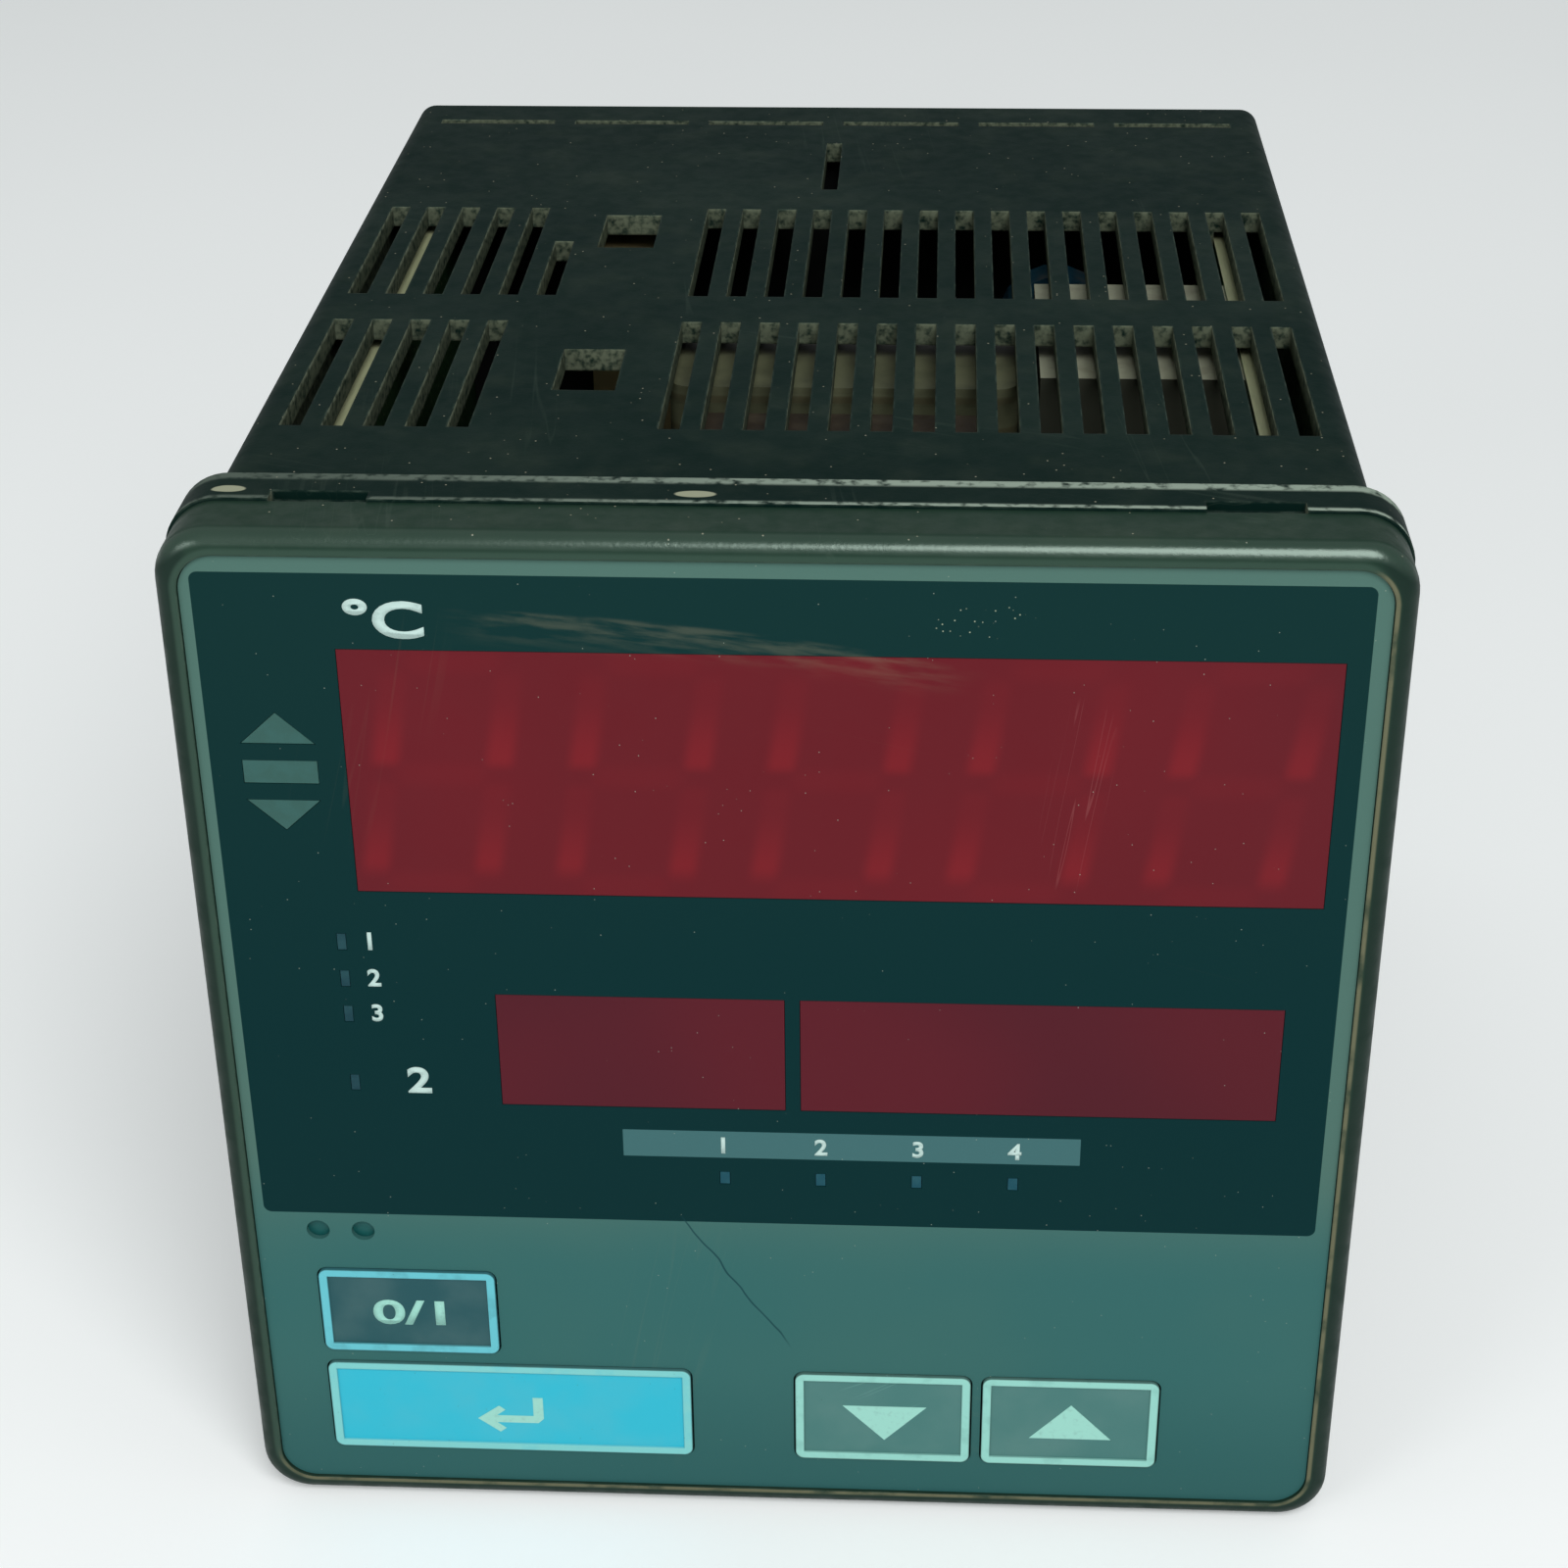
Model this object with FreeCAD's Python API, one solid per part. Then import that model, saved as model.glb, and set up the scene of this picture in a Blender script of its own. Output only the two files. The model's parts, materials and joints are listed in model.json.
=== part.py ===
import FreeCAD, Part
import math
import os

V = FreeCAD.Vector

# Panel-mounted temperature controller, quarter-DIN size.
# Construction frame, millimetres: the front of the face sheet lies in y = 0, +Y runs to the
# rear, +X to the right as the face is read, +Z up, and the axis of the case is x = 0, z = 0.
# write_node moves each piece so that the origin is the middle of the footprint.

# --- case -------------------------------------------------------------------
flange_size = 96.0          # outer size of the case's front flange
flange_depth = 5.3          # from the seam with the bezel to the panel seat
flange_corner = 4.5
flange_lip = 2.1            # flange beyond the body, which fits a 92 mm cut-out
body_depth = 106.0          # behind the panel seat
body_corner = 2.0
case_wall = 2.0
flange_chamfer = 0.5

vent_pitch = 3.5
vent_width = 1.8
vent_length = 25.0
vent_first_y = 25.3         # front end of the front row
vent_row_pitch = 31.7
vent_side_wall = 0.95       # wall kept beside the last slot
short_vent_length = 15.0

bracket_x = -18.5           # holes for the hooks of the mounting bracket
bracket_hole_w = 5.4
bracket_hole_l = 9.6
bracket_first_y = 38.5
bracket_hole_pitch = 36.6
bracket_land = 7.0          # unbroken wall each side of the bracket holes' line

key_slot_w = 1.6            # lone guide slot behind the vents
key_slot_l = 15.5
key_slot_x = 0.4
key_slot_gap = 13.1         # from the rear edge of the case

latch_slot_l = 1.4          # row of slots for the lugs of the terminal block
latch_slot_count = 6
latch_slot_gap = 2.2        # between neighbouring slots
latch_slot_margin = 3.5     # from the row's ends to the corners of the body

pry_notch_inset = 12.2      # from the flange's side to the recesses for prying the bezel off
pry_notch_w = 7.6
pry_notch_l = 1.5
pry_notch_h = 0.9

stop_w = 4.0                # corner stops that the terminal block seats on
stop_l = 2.6
rib_w = 1.0                 # guide ribs that hold the side boards
rib_h = 1.4
rib_length = 20.0

# --- bezel ------------------------------------------------------------------
bezel_setback = 0.25        # bezel stands in from the flange all round
bezel_depth = 5.7           # from the face sheet to the seam
bezel_corner = 4.3
rim_width = 1.9             # rounded rim round the face sheet
rim_proud = 0.3             # rim stands in front of the face sheet
rim_round = 1.6
plate_thickness = 2.4       # bezel's front plate, behind the sheet
skirt_wall = 1.1
skirt_corner = 2.0
skirt_reach = 6.8           # how far the skirt enters the case
skirt_gap = 0.15
hook_w = 7.0
hook_l = 1.5
hook_h = 0.75
hook_gap = 0.15
hook_setback = 2.9          # from the seam to the hook
tab_length = 10.0           # tabs inside the skirt that hold the display board
tab_h = 0.5
tab_thickness = 0.8
tab_z = 22.0

seal_width = 1.6            # seal between bezel and flange
seal_thickness = 1.2
seal_inset = 1.3            # from the flange's outer edge to the seal
seal_gap = 0.1

# --- face sheet and windows -------------------------------------------------
sheet_thickness = 0.5
sheet_corner = 3.0
window_gap = 0.05           # between a window and its opening
window_flush = 0.03         # windows lie this far behind the sheet's face
window_step = 0.7           # rebate that a window's foot seats in
window_step_depth = 1.3

pv_left = 11.65             # gaps from the sheet's edges to the main window
pv_right = 3.15
pv_top = 7.85
low_left = 22.15            # gaps from the sheet's edges to the lower windows
low_right = 5.45
low_window_h = 11.0
low_window_gap = 1.2        # between the two lower windows
left_window_w = 23.7
pv_to_low = 9.6             # between main window and lower windows

alarm_lamp_x = 40.65        # from the sheet's left edge to the first alarm lamp
alarm_lamp_pitch = 8.06
alarm_lamp_count = 4
alarm_lamp_drop = 7.05      # below the lower windows
alarm_lamp_w = 0.9
alarm_lamp_h = 1.3

status_lamp_x = 9.95        # from the sheet's left edge
status_lamp_w = 0.8
status_lamp_h = 1.6
status_lamp_rise = (4.8, 1.25, -2.2, -9.05)   # from the top of the lower windows

arrow_x = 6.45              # deviation arrows, from the sheet's left edge
arrow_w = 6.0
arrow_h = 2.8
arrow_bar_h = 2.1
arrow_gap = 1.45

band_drop = 4.75            # alarm lamps to the lower edge of the dark field
port_drop = 1.8             # lower edge of the dark field to the optical port
port_x = 5.45               # from the sheet's left edge
port_pitch = 3.9
port_radius = 1.0
port_seat = 1.3             # half width of the lens's seat behind a port
port_recess = 0.6

# --- keys -------------------------------------------------------------------
key_left = 5.05             # from the sheet's left edge to the keys
key_right = 13.45           # from the sheet's right edge to the last arrow key
key_bottom = 3.75
key_h = 9.65
key_row_gap = 1.4
key_to_port = 4.2
mode_key_w = 15.4
mode_key_h = 8.9
arrow_key_w = 15.4
arrow_key_gap = 1.05
enter_to_arrow = 9.2
key_corner = 0.8
key_gap = 0.15              # clearance round a key in its opening
key_proud = 0.2
key_border = 0.75           # raised border of a key
key_dish = 0.15             # depth of the field inside the border
key_back_gap = 0.1          # between the front plate and a key's foot
key_ear = 0.45              # foot's overlap above and below
key_foot_inset = 0.5
key_foot = 0.8
key_post = 3.6
key_post_length = 1.5
key_travel = 0.35

switch_body = 6.0
switch_height = 3.4
stem_size = 2.8
stem_gap = 0.05
stem_depth = 0.6            # part of the stem inside the switch at rest
stem_spare = 0.25           # depth left below a stem that is pressed home

# --- display ----------------------------------------------------------------
board_thickness = 1.6
display_board_gap = 0.25    # between the display board and the skirt
display_depth = 7.1         # from the front plate to the display board
holder_gap = 0.1
lamp_pocket_inset = 0.15    # holder's pockets, inside the outline of their lamps
holder_skin = 1.3           # wall of the holder below the lamps
module_gap = 0.3            # between a digit module and its pocket
module_setback = 0.5        # digit modules' faces behind the windows
digit_gap = 0.4
pv_digit_count = 5
left_digit_count = 3
right_digit_count = 5
segment_depth = 0.2
segment_slant = 0.12
led_height = 0.8
led_gap = 0.25

# --- boards and inner parts -------------------------------------------------
side_board_inset = 4.4      # from the case's inner wall to a side board's middle
side_board_gap = 1.0        # above and below a side board
side_board_front = 4.4      # behind the display board
slot_gap = 0.1              # clearance of a board in a groove or socket
link_width = 5.0
link_height = 50.0
link_overlap = 4.0
socket_w = 7.0
socket_depth = 8.0
socket_end_gap = 4.9        # from the case's inner wall to a socket's end
socket_bite = 5.0
socket_floor = 0.5
supply_board_z = 14.0
supply_board_front = 22.0
supply_board_rear = 92.0
supply_tab_w = 12.0
supply_tab_inset = 10.0
parts_gap = 1.5             # between the tallest inner parts and the vents
part_gap = 0.4

transformer_to_cans = 9.8
transformer_to_relays = 1.9
transformer_y = 49.8
transformer_l = 12.5
transformer_round = 2.0
core_inset = 4.0            # end bars of the core, inside the winding's width
core_l = 16.6
core_h = 17.0
filter_inset = 3.0
filter_l = 14.0
filter_y = 34.2
filter_drop = 1.5
relay_w = 18.0
relay_l = 12.0
relay_lift = 3.6            # output relays above the supply board
relay_first_y = 46.4
relay_count = 2
alarm_relay_w = 12.0
alarm_relay_l = 18.0
alarm_relay_h = 10.0
alarm_relay_first_y = 26.0
alarm_relay_pitch = 21.0
alarm_relay_count = 3
alarm_relay_z = -28.0
can_radius = 6.0
can_sides = 16
can_drop = 3.6
can_inset = 10.7            # from the left-hand board to the cans' middle
can_first_y = 32.0
can_pitch = 18.0
can_count = 3
film_cap_inset = 19.0
film_cap_y = 84.0
film_cap_w = 6.6
film_cap_l = 13.0
film_cap_drop = 1.0
disc_inset = 15.7           # from the right-hand board
disc_y = 77.5
disc_radius = 5.5
disc_thickness = 4.0
disc_drop = 1.0
disc_lead = 0.9
disc_lead_x = 3.0
sink_inset = 32.7           # from the right-hand board to the heat sink's middle
sink_y = 78.0
sink_base = 2.0
sink_fin = 1.4
sink_fin_gap = 2.6
sink_fin_count = 5
sink_w = 20.0
sink_h = 20.0
sink_fin_reach = 9.0
transistor_w = 10.0
transistor_t = 4.4
transistor_h = 15.0
chip_thickness = 2.2
chip_sizes = ((24.0, 24.0, 54.0, -18.0), (14.0, 10.0, 80.0, -14.0), (14.0, 10.0, 80.0, -30.0))

# --- terminal block ---------------------------------------------------------
block_gap = 0.15
block_plate = 3.0
block_rim = 1.5
block_rim_setback = 0.5     # rim's edge inside the case's rear edge
block_setback = 10.0        # plate's front face from the case's rear edge
terminal_columns = 3
terminal_rows = 10
row_margin = 5.65           # above and below the rows of terminals
column_margin = 1.75        # beside the outer columns
divider_w = 1.6
divider_h = 5.0
barrier_w = 1.2
barrier_h = 3.0
barrier_gap = 3.0           # from a barrier's end to the middle of its divider
clamp_w = 8.0
clamp_gap = 0.21            # between a clamp plate and the barriers
clamp_thickness = 1.0
screw_head_inset = 0.1      # head inside the clamp plate's edge
screw_head_h = 1.9
screw_radius = 1.75
screw_gap = 0.05
screw_bite = 2.4
screw_sides = 6
screw_head_sides = 8
lug_gap = 0.15
lug_setback = 0.4           # lug's end inside the case's outer face

# --- sizes that follow ------------------------------------------------------
body_size = flange_size - 2 * flange_lip
half_body = body_size / 2
half_cavity = half_body - case_wall
latch_slot_pitch = (body_size - 2 * latch_slot_margin + latch_slot_gap) / latch_slot_count
latch_slot_w = latch_slot_pitch - latch_slot_gap
pry_notch_x = flange_size / 2 - pry_notch_inset
seam_y = bezel_depth
seat_y = seam_y + flange_depth
rear_y = seat_y + body_depth
overall_depth = rear_y + rim_proud
plate_back = sheet_thickness + plate_thickness
bezel_size = flange_size - 2 * bezel_setback
half_skirt = half_cavity - skirt_gap
half_well = half_skirt - skirt_wall
skirt_end = seam_y + skirt_reach
sheet_size = bezel_size - 2 * rim_width
sheet_edge = sheet_size / 2
board_front = plate_back + display_depth
board_back = board_front + board_thickness
window_foot_y = plate_back - window_step_depth
block_front = rear_y - block_setback
block_back = block_front + block_plate
latch_slot_y = block_back + barrier_h / 3
side_board_y = board_back + side_board_front
socket_y = block_front - socket_depth
side_board_end = socket_y + socket_bite
half_side_board = half_cavity - side_board_gap
side_board_x = half_cavity - side_board_inset
board_inner_x = side_board_x - board_thickness / 2
supply_top = supply_board_z + board_thickness / 2
parts_top = half_cavity - parts_gap

# Parts between the side boards, from both boards inwards.
can_x = can_inset - board_inner_x
can_height = parts_top - can_drop - supply_top
relay_h = parts_top - relay_lift - supply_top
film_cap_x = film_cap_inset - board_inner_x
disc_x = board_inner_x - disc_inset
sink_x = board_inner_x - sink_inset
transformer_left = can_x + can_radius + transformer_to_cans
transformer_w = board_inner_x - relay_w - transformer_to_relays - transformer_left
transformer_x = transformer_left + transformer_w / 2
core_w = transformer_w - 2 * core_inset
filter_w = transformer_w - 2 * filter_inset

# Terminals, spread over the block.
half_block = half_cavity - block_gap
terminal_pitch = 2 * (half_block - row_margin) / terminal_rows
column_pitch = 2 * (half_block - column_margin) / terminal_columns
barrier_reach = column_pitch / 2 - barrier_gap
clamp_h = terminal_pitch - barrier_w - 2 * clamp_gap
screw_head_radius = clamp_h / 2 - screw_head_inset

# Rows of the face, from the bottom of the sheet up.
key_row_z = -sheet_edge + key_bottom + key_h / 2
mode_key_z = key_row_z + key_h / 2 + key_row_gap + mode_key_h / 2
port_z = mode_key_z + mode_key_h / 2 + key_to_port
alarm_lamp_z = port_z + port_drop + band_drop
low_window_z = alarm_lamp_z + alarm_lamp_drop + low_window_h / 2
low_window_top = low_window_z + low_window_h / 2
pv_window_bottom = low_window_top + pv_to_low
pv_window_h = sheet_edge - pv_top - pv_window_bottom
pv_window_z = pv_window_bottom + pv_window_h / 2

# Columns of the face.
pv_window_w = sheet_size - pv_left - pv_right
pv_window_x = (pv_left - pv_right) / 2
left_window_x = -sheet_edge + low_left + left_window_w / 2
right_window_w = sheet_size - low_left - left_window_w - low_window_gap - low_right
right_window_x = sheet_edge - low_right - right_window_w / 2
mode_key_x = -sheet_edge + key_left + mode_key_w / 2
up_key_x = sheet_edge - key_right - arrow_key_w / 2
down_key_x = up_key_x - arrow_key_w - arrow_key_gap
enter_key_w = down_key_x - arrow_key_w / 2 - enter_to_arrow + sheet_edge - key_left
enter_key_x = -sheet_edge + key_left + enter_key_w / 2

KEYS = {
    "mode": (mode_key_x, mode_key_z, mode_key_w, mode_key_h),
    "enter": (enter_key_x, key_row_z, enter_key_w, key_h),
    "down": (down_key_x, key_row_z, arrow_key_w, key_h),
    "up": (up_key_x, key_row_z, arrow_key_w, key_h),
}

DISPLAYS = {
    "pv": (pv_window_x, pv_window_z, pv_window_w, pv_window_h, pv_digit_count),
    "left": (left_window_x, low_window_z, left_window_w, low_window_h, left_digit_count),
    "right": (right_window_x, low_window_z, right_window_w, low_window_h, right_digit_count),
}


# --- shapes -----------------------------------------------------------------
def block(x0, x1, y0, y1, z0, z1):
    """Box between two corners."""
    return Part.makeBox(x1 - x0, y1 - y0, z1 - z0, V(x0, y0, z0))


def panel(cx, cz, width, height, y0, y1):
    """Box centred on (cx, cz), running from y0 to y1."""
    return block(cx - width / 2, cx + width / 2, y0, y1, cz - height / 2, cz + height / 2)


def standing(cx, cy, width, length, z0, z1):
    """Box centred on (cx, cy), standing from z0 to z1."""
    return block(cx - width / 2, cx + width / 2, cy - length / 2, cy + length / 2, z0, z1)


def rounded(cx, cz, width, height, corner, y0, y1):
    """Plate with rounded corners, running from y0 to y1."""
    solid = panel(cx, cz, width, height, y0, y1)
    edges = [e for e in solid.Edges if abs(e.BoundBox.YLength - (y1 - y0)) < 1e-6]
    return solid.makeFillet(corner, edges)


def square(size, corner, y0, y1):
    """Square plate on the instrument's axis."""
    return rounded(0, 0, size, size, corner, y0, y1)


def prism(points, y0, y1, grow=0.0):
    """Prism over an outline of (x, z) points, pushed out or in, running from y0 to y1."""
    corners = [V(x, y0, z) for x, z in points]
    wire = Part.makePolygon(corners + corners[:1])
    if grow:
        wire = wire.makeOffset2D(grow, 2)
    return Part.Face(wire).extrude(V(0, y1 - y0, 0))


def rod(cx, cz, radius, y0, y1):
    """Cylinder along Y."""
    return Part.makeCylinder(radius, y1 - y0, V(cx, y0, cz), V(0, 1, 0))


def faceted_rod(cx, cz, radius, sides, y0, y1):
    """Prism along Y with a many-sided section of the given corner radius."""
    turns = [2 * math.pi * (i + 0.5) / sides for i in range(sides)]
    return prism([(cx + radius * math.cos(a), cz + radius * math.sin(a)) for a in turns], y0, y1)


def faceted_can(cx, cy, radius, z0, z1):
    """Upright round part with a many-sided section."""
    turns = [2 * math.pi * (i + 0.5) / can_sides for i in range(can_sides)]
    ring = [V(cx + radius * math.cos(a), cy + radius * math.sin(a), z0) for a in turns]
    return Part.Face(Part.makePolygon(ring + ring[:1])).extrude(V(0, 0, z1 - z0))


def all_sides(solid):
    """The solid and its copy under the case."""
    return [solid, solid.mirror(V(0, 0, 0), V(0, 0, 1))]


def left_and_right(solid):
    """The solid and its copy on the other side."""
    return [solid, solid.mirror(V(0, 0, 0), V(1, 0, 0))]


def fused(solids):
    return solids[0].multiFuse(solids[1:]).removeSplitter()


def cut(solid, tools):
    return solid.cut(tools)


def write_node(name, shape):
    """Place the piece in the part's frame and write its STEP file."""
    placed = shape.copy()
    placed.translate(V(0, rim_proud - overall_depth / 2, flange_size / 2))
    placed.exportStep("parts/%s.step" % name)


# --- face layout ------------------------------------------------------------
def box_outline(x, z, width, height):
    return [(x - width / 2, z - height / 2), (x + width / 2, z - height / 2),
            (x + width / 2, z + height / 2), (x - width / 2, z + height / 2)]


def arrow_outlines():
    """Deviation lamps: up arrow, bar and down arrow."""
    x = arrow_x - sheet_edge
    half = arrow_w / 2
    base = arrow_bar_h / 2 + arrow_gap
    up = [(x - half, pv_window_z + base), (x + half, pv_window_z + base),
          (x, pv_window_z + base + arrow_h)]
    down = [(x - half, pv_window_z - base), (x, pv_window_z - base - arrow_h),
            (x + half, pv_window_z - base)]
    return [up, box_outline(x, pv_window_z, arrow_w, arrow_bar_h), down]


def status_outlines():
    x = status_lamp_x - sheet_edge
    return [box_outline(x, low_window_top + rise, status_lamp_w, status_lamp_h)
            for rise in status_lamp_rise]


def alarm_outlines():
    x = alarm_lamp_x - sheet_edge
    return [box_outline(x + i * alarm_lamp_pitch, alarm_lamp_z, alarm_lamp_w, alarm_lamp_h)
            for i in range(alarm_lamp_count)]


LAMPS = {"deviation": arrow_outlines(), "status": status_outlines(), "alarm": alarm_outlines()}

# Each moulded window: its outlines, which share one foot.
WINDOWS = {
    "pv_window": [box_outline(*DISPLAYS["pv"][:4])],
    "low_window": [box_outline(*DISPLAYS["left"][:4]), box_outline(*DISPLAYS["right"][:4])],
    "deviation_light_guide": LAMPS["deviation"],
    "status_light_guide": LAMPS["status"],
    "alarm_light_guide": LAMPS["alarm"],
}


def foot(outlines, gap):
    """Plate that carries a group of windows, the gap inside its rebate."""
    xs = [x for outline in outlines for x, z in outline]
    zs = [z for outline in outlines for x, z in outline]
    grow = 2 * (window_step - gap)
    return panel((max(xs) + min(xs)) / 2, (max(zs) + min(zs)) / 2, max(xs) - min(xs) + grow,
                 max(zs) - min(zs) + grow, window_foot_y, plate_back)


def port_centres():
    return [(port_x - sheet_edge + i * port_pitch, port_z) for i in range(2)]


def port_foot(gap):
    width = port_pitch + 2 * (port_seat + window_step - gap)
    height = 2 * (port_seat + window_step - gap)
    middle = port_x - sheet_edge + port_pitch / 2
    return panel(middle, port_z, width, height, window_foot_y, plate_back)


def window_openings(y0, y1):
    return [prism(outline, y0, y1) for outlines in WINDOWS.values() for outline in outlines]


def sheet_openings():
    """Windows, round-cornered key openings and round ports of the face sheet."""
    y0 = -1
    y1 = sheet_thickness + 1
    tools = window_openings(y0, y1)
    for x, z, w, h in KEYS.values():
        tools.append(rounded(x, z, w + 2 * key_gap, h + 2 * key_gap, key_corner + key_gap, y0, y1))
    return tools + [rod(x, z, port_radius, y0, y1) for x, z in port_centres()]


def plate_openings():
    """Square-cornered openings of the front plate behind the sheet."""
    y1 = plate_back + 1
    tools = window_openings(-1, y1)
    tools += [panel(x, z, w + 2 * key_gap, h + 2 * key_gap, -1, y1) for x, z, w, h in KEYS.values()]
    return tools + [panel(x, z, 2 * port_seat, 2 * port_seat, -1, y1) for x, z in port_centres()]


def window_rebates():
    """Steps at the back of the front plate that the windows' feet seat in."""
    return [foot(outlines, 0) for outlines in WINDOWS.values()] + [port_foot(0)]


# --- front ------------------------------------------------------------------
def make_front_sheet():
    sheet = square(sheet_size - 2 * window_gap, sheet_corner, 0, sheet_thickness)
    return cut(sheet, sheet_openings())


def bezel_shell():
    """Rim and skirt with their rounded front edge, before the plate is opened."""
    outer = square(bezel_size, bezel_corner, -rim_proud, seam_y)
    front = [e for e in outer.Edges if e.BoundBox.YMax < -rim_proud + 1e-6]
    outer = outer.makeFillet(rim_round, front)
    skirt = square(2 * half_skirt, skirt_corner, seam_y - 1, skirt_end)
    return outer.fuse(skirt)


def skirt_hooks():
    """Snap hooks on the top and bottom of the skirt, ramped towards the rear."""
    z = half_skirt
    y = seam_y + hook_setback
    profile = [V(0, y, z - 0.5), V(0, y, z + hook_h), V(0, y + hook_l / 2, z + hook_h),
               V(0, y + hook_l, z - 0.5), V(0, y, z - 0.5)]
    hook = Part.Face(Part.makePolygon(profile)).extrude(V(hook_w, 0, 0))
    hook.translate(V(pry_notch_x - hook_w / 2, 0, 0))
    return [h for side in left_and_right(hook) for h in all_sides(side)]


def skirt_tabs():
    """Tabs inside the skirt that hold the display board from behind."""
    tab = block(half_well - tab_h, half_well + skirt_wall / 2, board_back, board_back + tab_thickness,
                tab_z - tab_length / 2, tab_z + tab_length / 2)
    return [t for side in left_and_right(tab) for t in all_sides(side)]


def make_front_bezel():
    shell = bezel_shell()
    seat = square(sheet_size, sheet_corner, -1, sheet_thickness)
    well = panel(0, 0, 2 * half_well, 2 * half_well, plate_back, skirt_end + 1)
    opened = cut(shell, [seat, well])
    opened = opened.multiFuse(skirt_hooks() + skirt_tabs())
    return cut(opened, plate_openings() + window_rebates())


def make_window(outlines):
    """Moulded window: lands that fill their openings, on a foot that seats in the rebate."""
    lands = [prism(outline, window_flush, plate_back, -window_gap) for outline in outlines]
    return fused([foot(outlines, window_gap)] + lands)


def make_port_lens():
    size = 2 * (port_seat - window_gap)
    lands = [panel(x, z, size, size, port_recess, plate_back) for x, z in port_centres()]
    return fused([port_foot(window_gap)] + lands)


# --- keys -------------------------------------------------------------------
def foot_back():
    return plate_back + key_back_gap + key_foot


def make_key(x, z, width, height):
    """Key top with a raised border, a foot that retains it and a post to its switch."""
    cap = rounded(x, z, width, height, key_corner, -key_proud, plate_back + key_back_gap)
    inner_w = width - 2 * key_border
    inner_h = height - 2 * key_border
    dish = panel(x, z, inner_w, inner_h, -key_proud - 1, -key_proud + key_dish)
    ears = panel(x, z, width - 2 * key_foot_inset, height + 2 * key_ear,
                 plate_back + key_back_gap, foot_back())
    post = panel(x, z, key_post, key_post, foot_back(), foot_back() + key_post_length)
    return cut(fused([cap, ears, post]), [dish])


def switch_front():
    return board_front - switch_height


def make_switch_stem(x, z):
    return panel(x, z, stem_size, stem_size, foot_back() + key_post_length, switch_front() + stem_depth)


def make_key_switches():
    """One push switch behind each key, on the display board."""
    bore_end = switch_front() + stem_depth + key_travel + stem_spare
    well = stem_size + 2 * stem_gap
    bodies = []
    for x, z, width, height in KEYS.values():
        body = panel(x, z, switch_body, switch_body, switch_front(), board_front)
        bodies.append(cut(body, [panel(x, z, well, well, switch_front() - 1, bore_end)]))
    return Part.makeCompound(bodies)


# --- display ----------------------------------------------------------------
def make_display_holder():
    """Black frame between front plate and display board, with a pocket for each display."""
    half = half_well - holder_gap
    floor = alarm_lamp_z - alarm_lamp_h / 2 - window_step - holder_skin
    frame = block(-half, half, plate_back, board_front, floor, half)
    pockets = [panel(x, z, w, h, plate_back - 1, board_front + 1) for x, z, w, h, count in DISPLAYS.values()]
    for outlines in LAMPS.values():
        pockets += [prism(outline, plate_back - 1, board_front + 1, -lamp_pocket_inset)
                    for outline in outlines]
    return cut(frame, pockets)


def make_display_board():
    size = 2 * (half_well - display_board_gap)
    return panel(0, 0, size, size, board_front, board_back)


def segments(x, z, width, height, y0, y1):
    """The seven slanted strokes of one numeral."""
    t = height / 9
    half = width / 2
    bar = half - 0.8 * t
    strokes = []
    for level in (-height / 2 + t / 2, 0, height / 2 - t / 2):
        low = level - t / 2
        strokes.append([(-bar, low), (bar, low), (bar, low + t), (-bar, low + t)])
    for side in (-half, half - t):
        for low in (-height / 2 + t, t * 0.7):
            top = low + height / 2 - 1.7 * t
            strokes.append([(side, low), (side + t, low), (side + t, top), (side, top)])
    return [prism([(x + px + segment_slant * pz, z + pz) for px, pz in s], y0, y1) for s in strokes]


def make_digits(x, z, width, height, count, engraved):
    """A row of numeral modules that stands on the display board inside one pocket."""
    front = plate_back + module_setback
    room = width - 2 * module_gap
    pitch = (room + digit_gap) / count
    modules = []
    for i in range(count):
        cx = x - room / 2 + pitch * i + (pitch - digit_gap) / 2
        body = panel(cx, z, pitch - digit_gap, height - 2 * module_gap, front, board_front)
        if engraved:
            strokes = segments(cx, z, 0.58 * pitch, 0.72 * height, front - 1, front + segment_depth)
            body = cut(body, strokes)
        modules.append(body)
    return Part.makeCompound(modules)


def make_lamp_chips():
    """Light sources on the display board, one behind each lamp window."""
    chips = [prism(outline, board_front - led_height, board_front, -led_gap)
             for outlines in LAMPS.values() for outline in outlines]
    return Part.makeCompound(chips)


# --- case -------------------------------------------------------------------
def vent_tools():
    """Two rows of slots through top and bottom, left out beside the bracket holes."""
    reach = half_cavity - vent_side_wall - vent_width / 2
    columns = int(reach / vent_pitch)
    tools = []
    for row in range(2):
        y = vent_first_y + row * vent_row_pitch
        for i in range(-columns, columns + 1):
            x = i * vent_pitch
            length = vent_length
            if abs(x - bracket_x) < bracket_land:
                edge_slot = row == 1 and bracket_land - vent_pitch < bracket_x - x
                if not edge_slot:
                    continue
                length = short_vent_length
            tools.append(through_wall(x, y + length / 2, vent_width, length))
    return tools


def through_wall(x, y, width, length):
    """Cutter through the top and bottom walls of the body."""
    return standing(x, y, width, length, -half_body - 1, half_body + 1)


def bracket_tools():
    return [through_wall(bracket_x, bracket_first_y + i * bracket_hole_pitch, bracket_hole_w, bracket_hole_l)
            for i in range(2)]


def latch_slot_centres():
    middle = (latch_slot_count - 1) / 2
    return [(i - middle) * latch_slot_pitch for i in range(latch_slot_count)]


def latch_slot_tools():
    return [through_wall(x, latch_slot_y, latch_slot_w, latch_slot_l) for x in latch_slot_centres()]


def guide_slot_tool():
    y = rear_y - key_slot_gap - key_slot_l / 2
    return standing(key_slot_x, y, key_slot_w, key_slot_l, 0, half_body + 1)


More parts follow.
